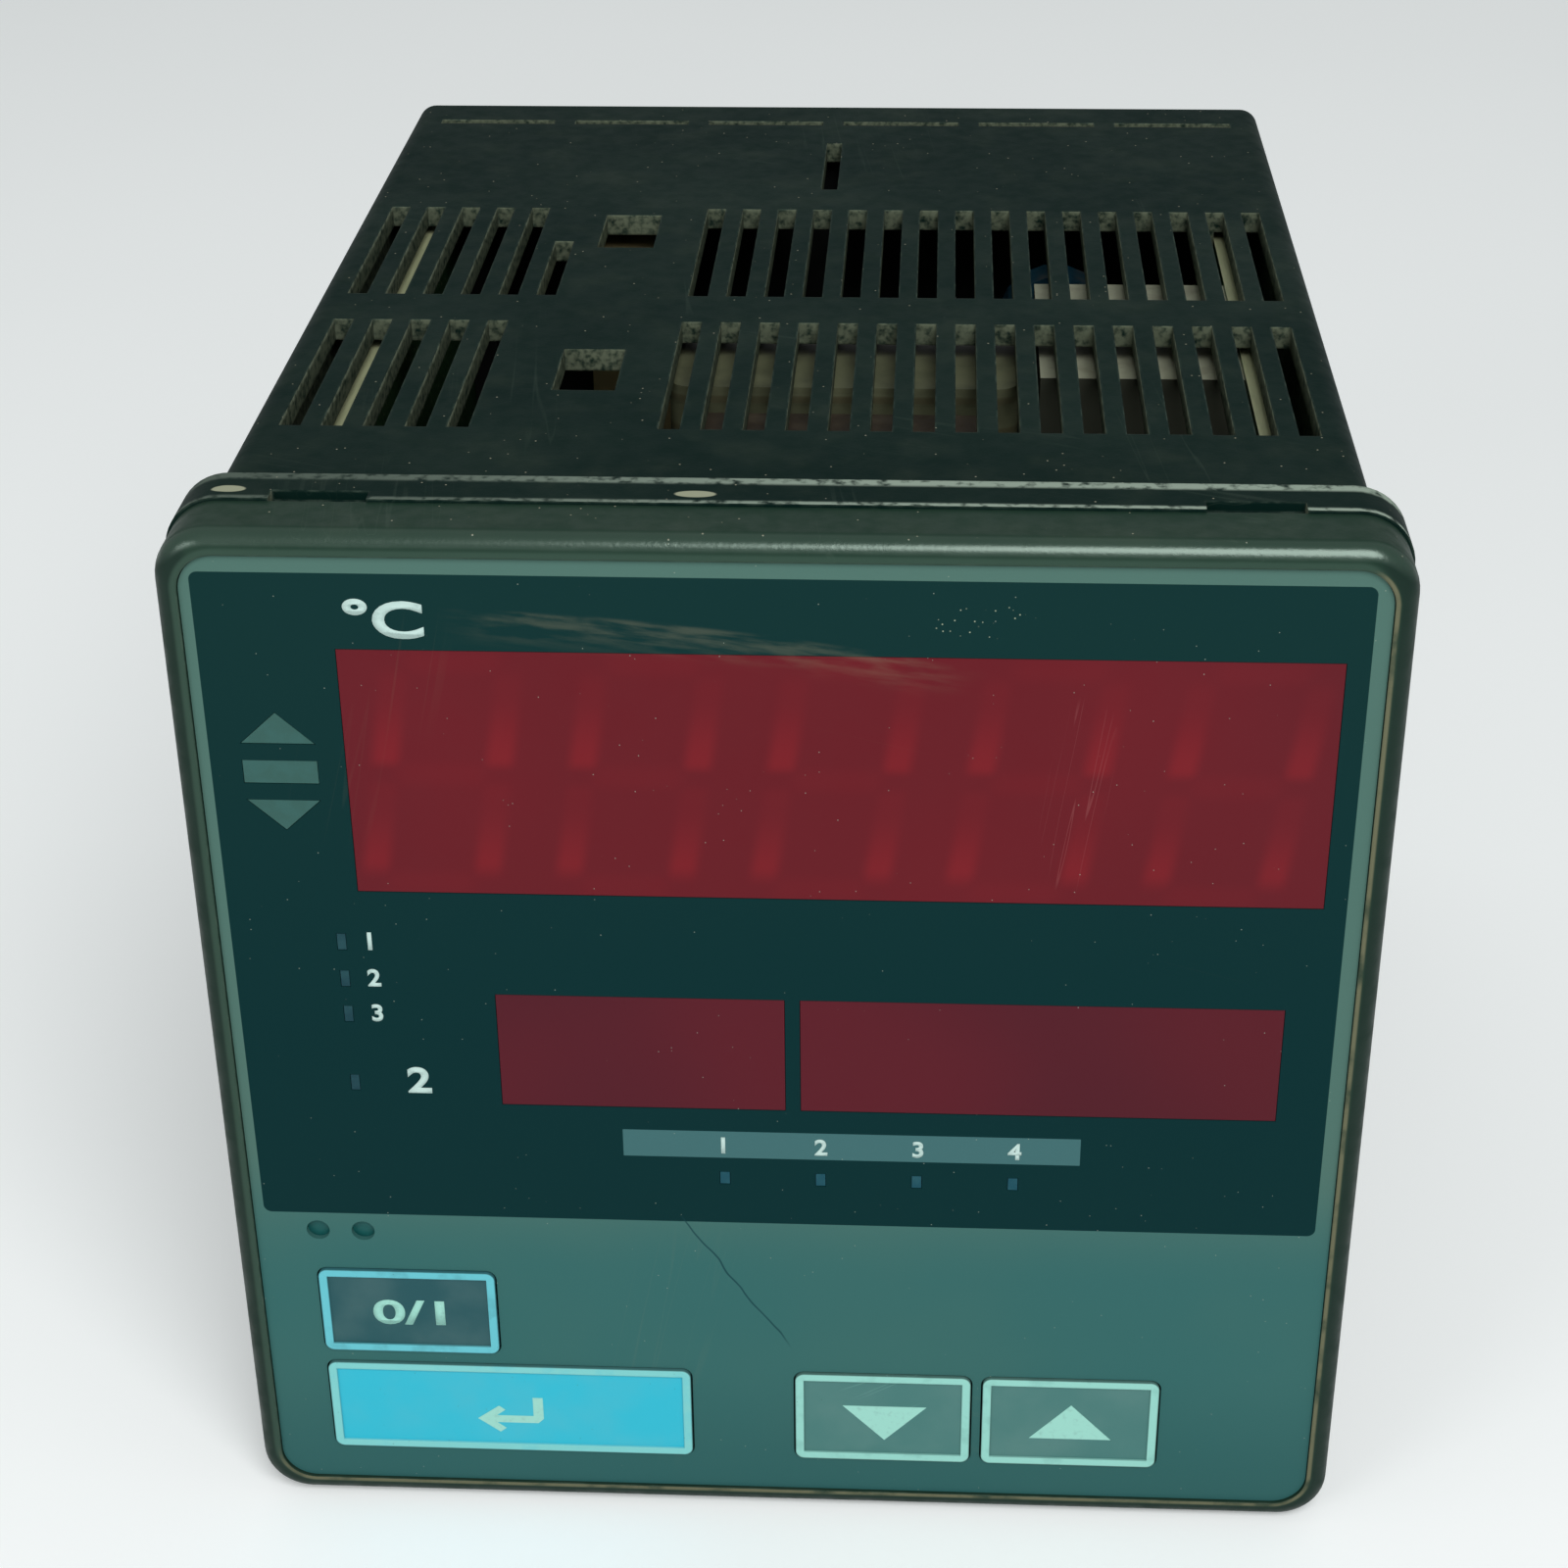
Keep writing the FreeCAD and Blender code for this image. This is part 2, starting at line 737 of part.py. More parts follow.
def pry_tools():
    notch = standing(pry_notch_x, seam_y, pry_notch_w, 2 * pry_notch_l,
                     flange_size / 2 - pry_notch_h, flange_size / 2 + 1)
    return [n for side in left_and_right(notch) for n in all_sides(side)]


def hook_pockets():
    y = seam_y + hook_setback
    pocket = standing(pry_notch_x, y + hook_l / 2, hook_w + 2 * hook_gap, hook_l + 2 * hook_gap,
                      half_skirt - 1, half_skirt + hook_h + hook_gap)
    return [p for side in left_and_right(pocket) for p in all_sides(side)]


def seal_ring(gap):
    outer = flange_size - 2 * seal_inset - 2 * gap
    inner = flange_size - 2 * seal_inset - 2 * seal_width + 2 * gap
    corner = flange_corner - seal_inset
    ring = square(outer, corner, seam_y, seam_y + seal_thickness)
    return cut(ring, [square(inner, corner - seal_width, seam_y - 1, seam_y + seal_thickness + 1)])


def guide_ribs():
    """Pairs of ribs above and below each side board."""
    ribs = []
    offset = board_thickness / 2 + slot_gap + rib_w / 2
    y = socket_y - rib_length / 2
    for x in (side_board_x - offset, side_board_x + offset):
        rib = standing(x, y, rib_w, rib_length, half_cavity - rib_h, half_cavity + case_wall / 2)
        ribs += [r for side in left_and_right(rib) for r in all_sides(side)]
    return ribs


def corner_stops():
    """Blocks in the corners of the body that the terminal block seats on."""
    inner = half_cavity - stop_w
    outer = half_cavity + case_wall / 2
    stop = block(inner, outer, block_front - stop_l, block_front, inner, outer)
    return [s for side in left_and_right(stop) for s in all_sides(side)]


def make_case():
    """Flange, open-ended body and everything that is moulded through its walls."""
    flange = square(flange_size, flange_corner, seam_y, seat_y)
    edges = [e for e in flange.Edges if e.BoundBox.YMin > seat_y - 1e-6]
    flange = flange.makeChamfer(flange_chamfer, edges)
    body = square(body_size, body_corner, seam_y, rear_y)
    size = 2 * half_cavity
    shell = cut(flange.fuse(body), [panel(0, 0, size, size, seam_y - 1, rear_y + 1)])
    shell = shell.multiFuse(guide_ribs() + corner_stops())
    openings = vent_tools() + bracket_tools() + latch_slot_tools() + [guide_slot_tool()]
    return cut(shell, openings + pry_tools() + hook_pockets() + [seal_ring(0)])


# --- boards -----------------------------------------------------------------
def make_side_board(side):
    """Upright board beside the case's wall, with slots for the supply board's tabs."""
    x = side * side_board_x
    board = block(x - board_thickness / 2, x + board_thickness / 2, side_board_y, side_board_end,
                  -half_side_board, half_side_board)
    slots = [standing(x, y, 2 * board_thickness, supply_tab_w + 2 * slot_gap,
                      supply_board_z - board_thickness / 2 - slot_gap, supply_top + slot_gap)
             for y in tab_places()]
    return cut(board, slots)


def tab_places():
    return (supply_board_front + supply_tab_inset, supply_board_rear - supply_tab_inset)


def make_supply_board():
    """Cross board between the side boards, held by tabs through their slots."""
    y0 = supply_board_front
    low = supply_board_z - board_thickness / 2
    plate = block(-board_inner_x, board_inner_x, y0, supply_board_rear, low, supply_top)
    reach = 2 * (board_inner_x + board_thickness)
    tabs = [standing(0, y, reach, supply_tab_w, low, supply_top) for y in tab_places()]
    return fused([plate] + tabs)


def make_board_links():
    """Header housings between the display board and the side boards."""
    x1 = board_inner_x
    link = block(x1 - link_width, x1, board_back, side_board_y + link_overlap, -link_height / 2, 0)
    return Part.makeCompound(left_and_right(link))


def make_edge_sockets():
    """Sockets on the terminal block that take the rear edges of the side boards."""
    body = block(side_board_x - socket_w / 2, side_board_x + socket_w / 2, socket_y, block_front,
                 socket_end_gap - half_cavity, half_cavity - socket_end_gap)
    slot = block(side_board_x - board_thickness / 2 - slot_gap, side_board_x + board_thickness / 2 + slot_gap,
                 socket_y - 1, side_board_end + socket_floor, -half_side_board, half_side_board)
    return Part.makeCompound(left_and_right(cut(body, [slot])))


# --- parts on the boards ----------------------------------------------------
def core_leg():
    """Middle leg of the transformer's core."""
    z = (supply_top + parts_top) / 2
    return standing(transformer_x, transformer_y, core_w / 3, core_l, z - core_h / 4, z + core_h / 4)


def make_transformer_winding():
    """Taped winding, open along its middle for the core."""
    body = standing(transformer_x, transformer_y, transformer_w, transformer_l, supply_top, parts_top)
    upright = [e for e in body.Edges if e.BoundBox.ZLength > transformer_l]
    return cut(body.makeFillet(transformer_round, upright), [core_leg()])


def make_transformer_core():
    """Two end bars joined by the middle leg that passes through the winding."""
    z = (supply_top + parts_top) / 2
    bar_t = (core_l - transformer_l) / 2
    bars = []
    for side in (-1, 1):
        y = transformer_y + side * (transformer_l + bar_t) / 2
        bars.append(standing(transformer_x, y, core_w, bar_t, z - core_h / 2, z + core_h / 2))
    return fused([core_leg()] + bars)


def make_mains_filter():
    """Boxed mains filter in front of the transformer."""
    return standing(transformer_x, filter_y, filter_w, filter_l, supply_top, parts_top - filter_drop)


def make_output_relays():
    """Relays on the right-hand board, level with the vents."""
    x1 = board_inner_x
    relays = []
    for i in range(relay_count):
        y = relay_first_y + i * (relay_l + part_gap)
        relays.append(block(x1 - relay_w, x1, y, y + relay_l, parts_top - relay_h, parts_top))
    return Part.makeCompound(relays)


def make_alarm_relays():
    x0 = -board_inner_x
    relays = []
    for i in range(alarm_relay_count):
        y = alarm_relay_first_y + i * alarm_relay_pitch
        relays.append(block(x0, x0 + alarm_relay_h, y, y + alarm_relay_l,
                            alarm_relay_z - alarm_relay_w / 2, alarm_relay_z + alarm_relay_w / 2))
    return Part.makeCompound(relays)


def make_capacitors():
    """Row of can capacitors on the supply board."""
    cans = []
    for i in range(can_count):
        y = can_first_y + i * can_pitch
        cans.append(faceted_can(can_x, y, can_radius, supply_top, supply_top + can_height))
    return Part.makeCompound(cans)


def make_film_capacitor():
    return standing(film_cap_x, film_cap_y, film_cap_w, film_cap_l, supply_top, parts_top - film_cap_drop)


def make_varistor():
    """Disc on two flat leads."""
    z = parts_top - disc_drop - disc_radius
    disc = faceted_rod(disc_x, z, disc_radius, can_sides, disc_y - disc_thickness / 2,
                       disc_y + disc_thickness / 2)
    leads = [standing(disc_x + dx, disc_y, disc_lead, disc_lead, supply_top, z)
             for dx in (-disc_lead_x, disc_lead_x)]
    return fused([disc] + leads)


def make_heat_sink():
    """Finned plate that stands on the supply board."""
    top = supply_top + sink_h
    plate = standing(sink_x, sink_y, sink_w, sink_base, supply_top, top)
    fins = []
    y = sink_y + sink_base / 2 + sink_fin_reach / 2
    for i in range(sink_fin_count):
        x = sink_x - sink_w / 2 + sink_fin / 2 + i * (sink_fin + sink_fin_gap)
        fins.append(standing(x, y, sink_fin, sink_fin_reach, supply_top, top))
    return fused([plate] + fins)


def make_power_transistor():
    y = sink_y - sink_base / 2 - transistor_t / 2
    return standing(sink_x, y, transistor_w, transistor_t, supply_top, supply_top + transistor_h)


def make_logic_chips():
    """Flat chips on the right-hand board."""
    x1 = board_inner_x
    chips = [block(x1 - chip_thickness, x1, y - length / 2, y + length / 2, z - height / 2, z + height / 2)
             for length, height, y, z in chip_sizes]
    return Part.makeCompound(chips)


# --- rear -------------------------------------------------------------------
def terminal_places():
    """Centres of the terminals, column by column."""
    columns = [(c - (terminal_columns - 1) / 2) * column_pitch for c in range(terminal_columns)]
    rows = [(r - (terminal_rows - 1) / 2) * terminal_pitch for r in range(terminal_rows)]
    return columns, rows


def latch_lugs():
    """Lugs on the block's top and bottom edges that snap into the case's slots."""
    top = half_body - lug_setback
    lugs = []
    for x in latch_slot_centres():
        width = latch_slot_w - 2 * lug_gap
        lug = standing(x, latch_slot_y + lug_gap / 2, width, latch_slot_l - lug_gap, half_block - 1, top)
        lugs += all_sides(lug)
    return lugs


def make_terminal_block():
    """Rear plate with a rim, column dividers, barriers between terminals and screw holes."""
    rim_end = rear_y - block_rim_setback
    inside = 2 * (half_block - block_rim)
    body = square(2 * half_block, body_corner / 2, block_front, rim_end)
    body = cut(body, [panel(0, 0, inside, inside, block_back, rim_end + 1)])
    columns, rows = terminal_places()
    walls = [panel(x + column_pitch / 2, 0, divider_w, inside + 1, block_back - 1, block_back + divider_h)
             for x in columns[:-1]]
    for x in columns:
        for r in range(terminal_rows + 1):
            z = (r - terminal_rows / 2) * terminal_pitch
            walls.append(panel(x, z, 2 * barrier_reach, barrier_w, block_back - 1, block_back + barrier_h))
    body = fused([body] + walls + latch_lugs())
    holes = [faceted_rod(x, z, screw_radius + screw_gap, screw_sides, block_back - screw_bite - screw_gap,
                         block_back + 1) for x in columns for z in rows]
    return cut(body, holes)


def make_terminal_screws():
    """Terminal screws, each with its captive square clamp plate."""
    columns, rows = terminal_places()
    under_head = block_back + clamp_thickness
    screws = []
    for x in columns:
        for z in rows:
            head = faceted_rod(x, z, screw_head_radius, screw_head_sides, under_head,
                               under_head + screw_head_h)
            plate = panel(x, z, clamp_w, clamp_h, block_back, under_head)
            shank = faceted_rod(x, z, screw_radius, screw_sides, block_back - screw_bite, under_head)
            screws.append(fused([head, plate, shank]))
    return Part.makeCompound(screws)


# --- the part ---------------------------------------------------------------
def main():
    os.makedirs("parts", exist_ok=True)
    write_node("case", make_case())
    write_node("front_bezel", make_front_bezel())
    write_node("bezel_seal", seal_ring(seal_gap))
    write_node("front_sheet", make_front_sheet())
    for name, outlines in WINDOWS.items():
        write_node(name, make_window(outlines))
    for name, layout in DISPLAYS.items():
        write_node("%s_digits" % name, make_digits(*layout, engraved=(name == "pv")))
    write_node("port_lens", make_port_lens())
    for name, (x, z, width, height) in KEYS.items():
        write_node("%s_key" % name, make_key(x, z, width, height))
        write_node("%s_switch_stem" % name, make_switch_stem(x, z))
    write_node("key_switches", make_key_switches())
    write_node("display_holder", make_display_holder())
    write_node("display_board", make_display_board())
    write_node("lamp_chips", make_lamp_chips())
    write_node("power_side_board", make_side_board(-1))
    write_node("logic_side_board", make_side_board(1))
    write_node("supply_board", make_supply_board())
    write_node("board_links", make_board_links())
    write_node("edge_sockets", make_edge_sockets())
    write_node("transformer_winding", make_transformer_winding())
    write_node("transformer_core", make_transformer_core())
    write_node("mains_filter", make_mains_filter())
    write_node("output_relays", make_output_relays())
    write_node("alarm_relays", make_alarm_relays())
    write_node("can_capacitors", make_capacitors())
    write_node("film_capacitor", make_film_capacitor())
    write_node("varistor", make_varistor())
    write_node("heat_sink", make_heat_sink())
    write_node("power_transistor", make_power_transistor())
    write_node("logic_chips", make_logic_chips())
    write_node("terminal_block", make_terminal_block())
    write_node("terminal_screws", make_terminal_screws())


main()
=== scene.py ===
"""Finishes and fine detail for a panel-mounted temperature controller.

The packed model gives the mouldings, windows, keys, boards and terminals. This file gives each
of them its material, prints the face, and adds the marks, cans and screws.
Sizes are in metres. Print on the face is laid out in millimetres from the middle of the face.
"""
import json
import math

import bpy
from bpy.props import FloatProperty, FloatVectorProperty, PointerProperty
from bpy.types import Operator, Panel, PropertyGroup
from mathutils import Matrix, Vector

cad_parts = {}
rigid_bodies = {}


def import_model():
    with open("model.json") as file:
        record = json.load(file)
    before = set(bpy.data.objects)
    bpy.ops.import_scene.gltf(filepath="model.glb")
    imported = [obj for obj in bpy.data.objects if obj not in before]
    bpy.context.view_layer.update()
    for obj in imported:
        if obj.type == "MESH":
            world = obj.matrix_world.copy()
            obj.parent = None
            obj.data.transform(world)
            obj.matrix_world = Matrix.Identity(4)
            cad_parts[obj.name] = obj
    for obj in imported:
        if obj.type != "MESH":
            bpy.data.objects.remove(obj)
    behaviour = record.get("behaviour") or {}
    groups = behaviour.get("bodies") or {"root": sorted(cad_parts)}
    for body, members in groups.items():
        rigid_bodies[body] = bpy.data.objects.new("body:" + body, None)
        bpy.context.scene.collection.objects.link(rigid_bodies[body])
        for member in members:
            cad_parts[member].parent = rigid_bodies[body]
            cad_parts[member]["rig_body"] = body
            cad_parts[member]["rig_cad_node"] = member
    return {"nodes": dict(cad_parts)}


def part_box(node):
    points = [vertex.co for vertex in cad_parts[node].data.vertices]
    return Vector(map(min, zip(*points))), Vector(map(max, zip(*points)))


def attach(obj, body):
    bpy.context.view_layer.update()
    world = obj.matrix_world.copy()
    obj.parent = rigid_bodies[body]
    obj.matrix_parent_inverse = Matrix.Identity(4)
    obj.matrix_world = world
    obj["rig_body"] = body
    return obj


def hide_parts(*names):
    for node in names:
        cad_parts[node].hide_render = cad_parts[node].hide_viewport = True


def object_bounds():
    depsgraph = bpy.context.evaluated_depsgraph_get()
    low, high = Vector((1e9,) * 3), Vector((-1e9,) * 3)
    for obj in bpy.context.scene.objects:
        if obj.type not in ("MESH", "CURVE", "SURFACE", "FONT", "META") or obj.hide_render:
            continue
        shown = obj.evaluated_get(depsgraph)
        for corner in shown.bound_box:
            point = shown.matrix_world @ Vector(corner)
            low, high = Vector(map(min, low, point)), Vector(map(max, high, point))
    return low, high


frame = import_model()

bl_info = {
    "name": "Panel temperature controller",
    "version": (1, 0, 0),
    "blender": (4, 5, 0),
    "location": "3D View > Sidebar > Controller",
    "description": "Finishes, face print, marks, cans and screws of a panel temperature controller",
    "category": "Object",
}

NODES = frame["nodes"]
CAD_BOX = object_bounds()
MM = 0.001
HOUSING = "housing"

SHEET_LOW, SHEET_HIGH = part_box("front_sheet")
FACE_Y = SHEET_LOW.y
FACE_X = (SHEET_LOW.x + SHEET_HIGH.x) / 2
FACE_Z = (SHEET_LOW.z + SHEET_HIGH.z) / 2
CASE_LOW, CASE_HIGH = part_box("case")
FLANGE_STEP = 0.0021        # the vented walls stand this far inside the flange
BODY_TOP = CASE_HIGH.z - FLANGE_STEP

# Print on the face: left, right, bottom and top of each field, in millimetres.
DARK_FIELD = (-44.9, 44.5, -16.1, 44.4)
ALARM_BAR = (-13.7, 24.5, -9.3, -6.6)
FIELD_CORNER = 0.7
PRINT_DEPTH = 0.03
SMOOTH_ANGLE = math.radians(32)

PV_DIGITS = 5
WINDOW_FOOT = 0.0007    # the windows' feet reach this far behind the sheet
GHOST_PITCH = 0.2015    # unlit numerals' spacing, as a share of the window's width
GHOST_SPREAD = 0.29     # upright strokes from a numeral's middle, as a share of the spacing
GHOST_REACH = 0.457     # end strokes from the middle, as a share of the window's height
GHOST_STROKE = 0.095    # width of a stroke, as a share of the window's height
GHOST_SLANT = 0.15      # sideways lean of a stroke for its height

SCREW_HEAD = 0.0019         # thickness of a terminal screw's head
TERMINAL_WALL = 0.0024      # the numbered wall stands this far out from the screws' inner ends
CAMERA_PLACE = (0.01127, -0.25695, 0.1867)

# Keys with the material slot of each.
KEYS = {"mode": "key_grey", "enter": "key_blue", "down": "key_grey", "up": "key_grey"}
KEY_EAR = 0.45              # a key's foot reaches this far above and below its face
KEY_BORDER = 0.75
KEY_CORNER = 0.8
KEY_RIM = 0.15              # a key's border stands this far in front of its field


def rgb(red, green, blue):
    """Scene-linear colour of a display colour given from 0 to 255."""
    channels = []
    for level in (red, green, blue):
        c = level / 255
        channels.append(c / 12.92 if c <= 0.04045 else ((c + 0.055) / 1.055) ** 2.4)
    return (*channels, 1.0)


def colour_property(name, description, *levels):
    return FloatVectorProperty(name=name, description=description, subtype="COLOR", size=4,
                               min=0.0, max=1.0, default=rgb(*levels))


def share_property(name, description, default):
    return FloatProperty(name=name, description=description, subtype="FACTOR", min=0.0, max=1.0,
                         default=default)


def length_property(name, description, default):
    return FloatProperty(name=name, description=description, subtype="DISTANCE", unit="LENGTH",
                         min=0.0, precision=5, default=default)


def angle_property(name, description, degrees):
    return FloatProperty(name=name, description=description, subtype="ANGLE", unit="ROTATION",
                         default=math.radians(degrees))


def power_property(name, description, default):
    return FloatProperty(name=name, description=description, subtype="POWER", default=default)


# --- settings ----------------------------------------------------------------
class ControllerCaseLook(PropertyGroup):
    """Mouldings of the housing."""

    plastic: colour_property("Case", "Colour of the vented case", 5, 30, 26)
    bezel: colour_property("Bezel", "Colour of the front bezel", 26, 50, 39)
    # The worn colour and the edge wear also give a painted highlight along the mouldings' edges.
    worn: colour_property("Worn edges", "Colour of rubbed edges", 104, 122, 108)
    grime: colour_property("Grime", "Colour of dust in corners and slots", 120, 128, 106)
    dust: share_property("Dust", "Dust on upward faces", 0.3)
    edge_wear: share_property("Edge wear", "How far edges are rubbed", 0.45)
    edge_radius: length_property("Edge radius", "Softness of moulded edges", 0.0003)


class ControllerFaceLook(PropertyGroup):
    """Print on the face sheet."""

    dark: colour_property("Dark field", "Field round the windows", 3, 45, 47)
    pale: colour_property("Pale field", "Field round the keys", 54, 104, 102)
    border: colour_property("Border", "Border round the dark field", 79, 113, 104)
    bar: colour_property("Alarm bar", "Bar behind the alarm numerals", 66, 108, 110)
    legend: colour_property("Legends", "Numerals and marks", 192, 218, 212)
    smear: colour_property("Smears", "Residue on the face", 150, 148, 122)
    wear: share_property("Wear", "Scratches and specks on the face", 0.5)


class ControllerWindowLook(PropertyGroup):
    """Tinted windows and lamps."""

    main: colour_property("Main window", "Tint of the main window", 98, 14, 26)
    lower: colour_property("Lower windows", "Tint of the lower windows", 77, 15, 30)
    segment: colour_property("Segments", "Unlit segments", 255, 52, 58)
    module: colour_property("Modules", "Face of the digit modules", 84, 30, 32)
    lamp: colour_property("Lamps", "Unlit alarm lamps", 10, 72, 86)
    status: colour_property("Status lamps", "Unlit status lamps", 8, 56, 66)
    arrows: colour_property("Arrows", "Unlit deviation arrows", 50, 90, 84)
    # The unlit strokes are painted on the main window, with painted light on them.
    ghost: share_property("Ghost", "How much the unlit strokes show through the main window", 0.05)


class ControllerKeyLook(PropertyGroup):
    """Keys."""

    mode_field: colour_property("Mode key", "Field of the mode key", 34, 82, 88)
    mode_border: colour_property("Mode border", "Border of the mode key", 104, 196, 208)
    enter_field: colour_property("Enter key", "Field of the enter key", 49, 188, 212)
    enter_border: colour_property("Enter border", "Border of the enter key", 130, 208, 206)
    arrow_field: colour_property("Arrow keys", "Field of the arrow keys", 72, 122, 118)
    arrow_border: colour_property("Arrow border", "Border of the arrow keys", 152, 214, 202)
    mark: colour_property("Key marks", "Marks on the keys", 160, 218, 204)


class ControllerStageLook(PropertyGroup):
    """Camera, lamps and floor."""

    lens: FloatProperty(name="Lens", description="Focal length", subtype="DISTANCE_CAMERA", default=67.32)
    down: angle_property("Down", "How far the camera looks down", 29.36)
    aside: angle_property("Aside", "How far the camera looks to the right", -3.21)
    tilt: angle_property("Tilt", "Roll of the camera", -0.62)
    room: share_property("Room light", "Level of the even light all round", 0.4)
    floor_glow: share_property("Floor glow", "How much paler the floor looks than it is lit", 0.2)
    key_light: power_property("Key light", "Power of the large soft lamp", 3.3)
    fill_light: power_property("Fill light", "Power of the lamp over the camera", 1.0)
    floor: colour_property("Floor", "Colour of the floor", 246, 249, 249)


# --- materials ---------------------------------------------------------------
class Finish:
    """A material that grows node by node: a colour, a roughness and a relief in metres."""

    def __init__(self, name, colour, roughness=0.5, specular=0.25):
        self.material = bpy.data.materials.new(name)
        self.material.use_nodes = True
        self.tree = self.material.node_tree
        self.shader = self.tree.nodes["Principled BSDF"]
        self.shader.inputs["Specular IOR Level"].default_value = specular
        self.colour = tuple(colour)
        self.roughness = roughness
        self.relief = None
        self.rounding = None
        coordinates = self.add("ShaderNodeTexCoord")
        self.place = coordinates.outputs["Object"]
        facing = self.add("ShaderNodeSeparateXYZ", {0: coordinates.outputs["Normal"]})
        self.facing = {axis: facing.outputs[axis] for axis in "XYZ"}
        position = self.add("ShaderNodeSeparateXYZ", {0: self.place})
        self.at = {axis: position.outputs[axis] for axis in "XYZ"}

    def add(self, kind, inputs=None, **settings):
        node = self.tree.nodes.new(kind)
        for key, value in settings.items():
            setattr(node, key, value)
        for socket, value in (inputs or {}).items():
            self.feed(node.inputs[socket], value)
        return node

    def feed(self, socket, value):
        if isinstance(value, bpy.types.NodeSocket):
            self.tree.links.new(value, socket)
        else:
            socket.default_value = value

    def math(self, operation, first, second=0.0):
        return self.add("ShaderNodeMath", {0: first, 1: second}, operation=operation).outputs[0]

    def both(self, first, *others):
        for other in others:
            first = self.math("MULTIPLY", first, other)
        return first

    def either(self, first, *others):
        for other in others:
            first = self.math("MAXIMUM", first, other)
        return first

    def ramp(self, value, low, high):
        """0 at low and 1 at high, with soft ends."""
        return self.add("ShaderNodeMapRange", {"Value": value, "From Min": low, "From Max": high},
                        interpolation_type="SMOOTHSTEP").outputs["Result"]

    def minus(self, first, second):
        return self.math("SUBTRACT", first, second)

    def plus(self, first, second):
        return self.math("ADD", first, second)

    def times(self, first, second):
        return self.math("MULTIPLY", first, second)

    def size(self, value):
        return self.math("ABSOLUTE", value)

    def gap(self, first, second):
        """How far two values are apart."""
        return self.size(self.minus(first, second))

    def along(self, axis, low, high):
        """0 at low and 1 at high on an axis."""
        return self.ramp(self.at[axis], low, high)

    def faces(self, axis, low, high):
        """0 to 1 with how far the surface faces along an axis."""
        return self.ramp(self.facing[axis], low, high)

    def clouds(self, size, detail, low, high):
        """Cloudy patches about size metres across."""
        return self.ramp(self.noise(size, detail), low, high)

    def turned(self, angles, stretch, shift=(0.0, 0.0, 0.0)):
        """Coordinates turned by angles and then stretched."""
        turned = self.add("ShaderNodeVectorRotate", {"Vector": self.place, "Rotation": angles},
                          rotation_type="EULER_XYZ").outputs[0]
        scaled = self.add("ShaderNodeVectorMath", {0: turned, 1: stretch}, operation="MULTIPLY")
        moved = self.add("ShaderNodeVectorMath", {0: scaled.outputs[0], 1: shift}, operation="ADD")
        return moved.outputs[0]

    def noise(self, size, detail=2.0, place=None):
        """Cloudy pattern whose patches are about size metres across."""
        return self.add("ShaderNodeTexNoise", {"Vector": place or self.place, "Scale": 1 / size,
                                               "Detail": detail}).outputs[0]

    def specks(self, size, share):
        """Round specks, about size metres across, on a share of the surface."""
        cells = self.add("ShaderNodeTexVoronoi", {"Vector": self.place, "Scale": 0.25 / size})
        chance = self.add("ShaderNodeSeparateColor", {0: cells.outputs["Color"]}).outputs[0]
        near = self.ramp(cells.outputs["Distance"], 0.16, 0.08)
        return self.both(near, self.ramp(chance, 1 - share, 1 - 0.8 * share))

    def scratches(self, size, angles, patch=0.55, shift=(0.0, 0.0, 0.0)):
        """Fine broken lines, size metres apart, that run along the turned X axis."""
        lines = self.noise(size, 1, self.turned(angles, (0.03, 1.0, 1.0), shift))
        thin = self.ramp(self.gap(lines, 0.5), 0.012, 0.002)
        patches = self.noise(size * 9, 1.0, self.turned(angles, (0.6, 1.0, 1.0), shift))
        return self.both(thin, self.ramp(patches, patch, patch + 0.1))

    def soften(self, radius):
        """Rounds the look of every corner, and keeps where the corners are for edges()."""
        self.rounding = self.add("ShaderNodeBevel", {"Radius": radius}, samples=4).outputs[0]

    def edges(self, low=0.99, high=0.86):
        """1 along the softened corners."""
        plain = self.add("ShaderNodeNewGeometry").outputs["Normal"]
        alike = self.add("ShaderNodeVectorMath", {0: self.rounding, 1: plain}, operation="DOT_PRODUCT")
        return self.ramp(alike.outputs["Value"], low, high)

    def box_distance(self, box, corner):
        """Distance outwards from a round-cornered box on the face, in metres."""
        left, right, bottom, top = (side * MM for side in box)
        reach = []
        for axis, low, high, centre in (("X", left, right, FACE_X), ("Z", bottom, top, FACE_Z)):
            middle = (low + high) / 2 + centre
            away = self.gap(self.at[axis], middle)
            reach.append(self.minus(away, (high - low) / 2 - corner * MM))
        outside = [self.math("MAXIMUM", value, 0.0) for value in reach]
        squares = [self.times(value, value) for value in outside]
        length = self.math("SQRT", self.math("ADD", *squares))
        inside = self.math("MINIMUM", self.math("MAXIMUM", *reach), 0.0)
        return self.minus(self.plus(length, inside), corner * MM)

    def inside_box(self, box, corner, blur=0.02):
        return self.ramp(self.box_distance(box, corner), blur * MM, -blur * MM)

    def spot(self, axes, centre, radii):
        """1 inside an oval, given in metres along two axes."""
        total = None
        for axis, middle, radius in zip(axes, centre, radii):
            share = self.math("DIVIDE", self.minus(self.at[axis], middle), radius)
            square = self.times(share, share)
            total = square if total is None else self.plus(total, square)
        return self.ramp(total, 1.15, 0.8)

    def blend(self, mask, first, second):
        return self.add("ShaderNodeMix", {0: mask, 6: first, 7: second}, data_type="RGBA").outputs[2]

    def tint(self, mask, colour, strength=1.0):
        if strength != 1.0:
            mask = self.times(mask, strength)
        self.colour = self.blend(mask, self.colour, tuple(colour))

    def polish(self, mask, roughness):
        self.roughness = self.add("ShaderNodeMix", {0: mask, 2: self.roughness, 3: roughness},
                                  data_type="FLOAT").outputs[0]

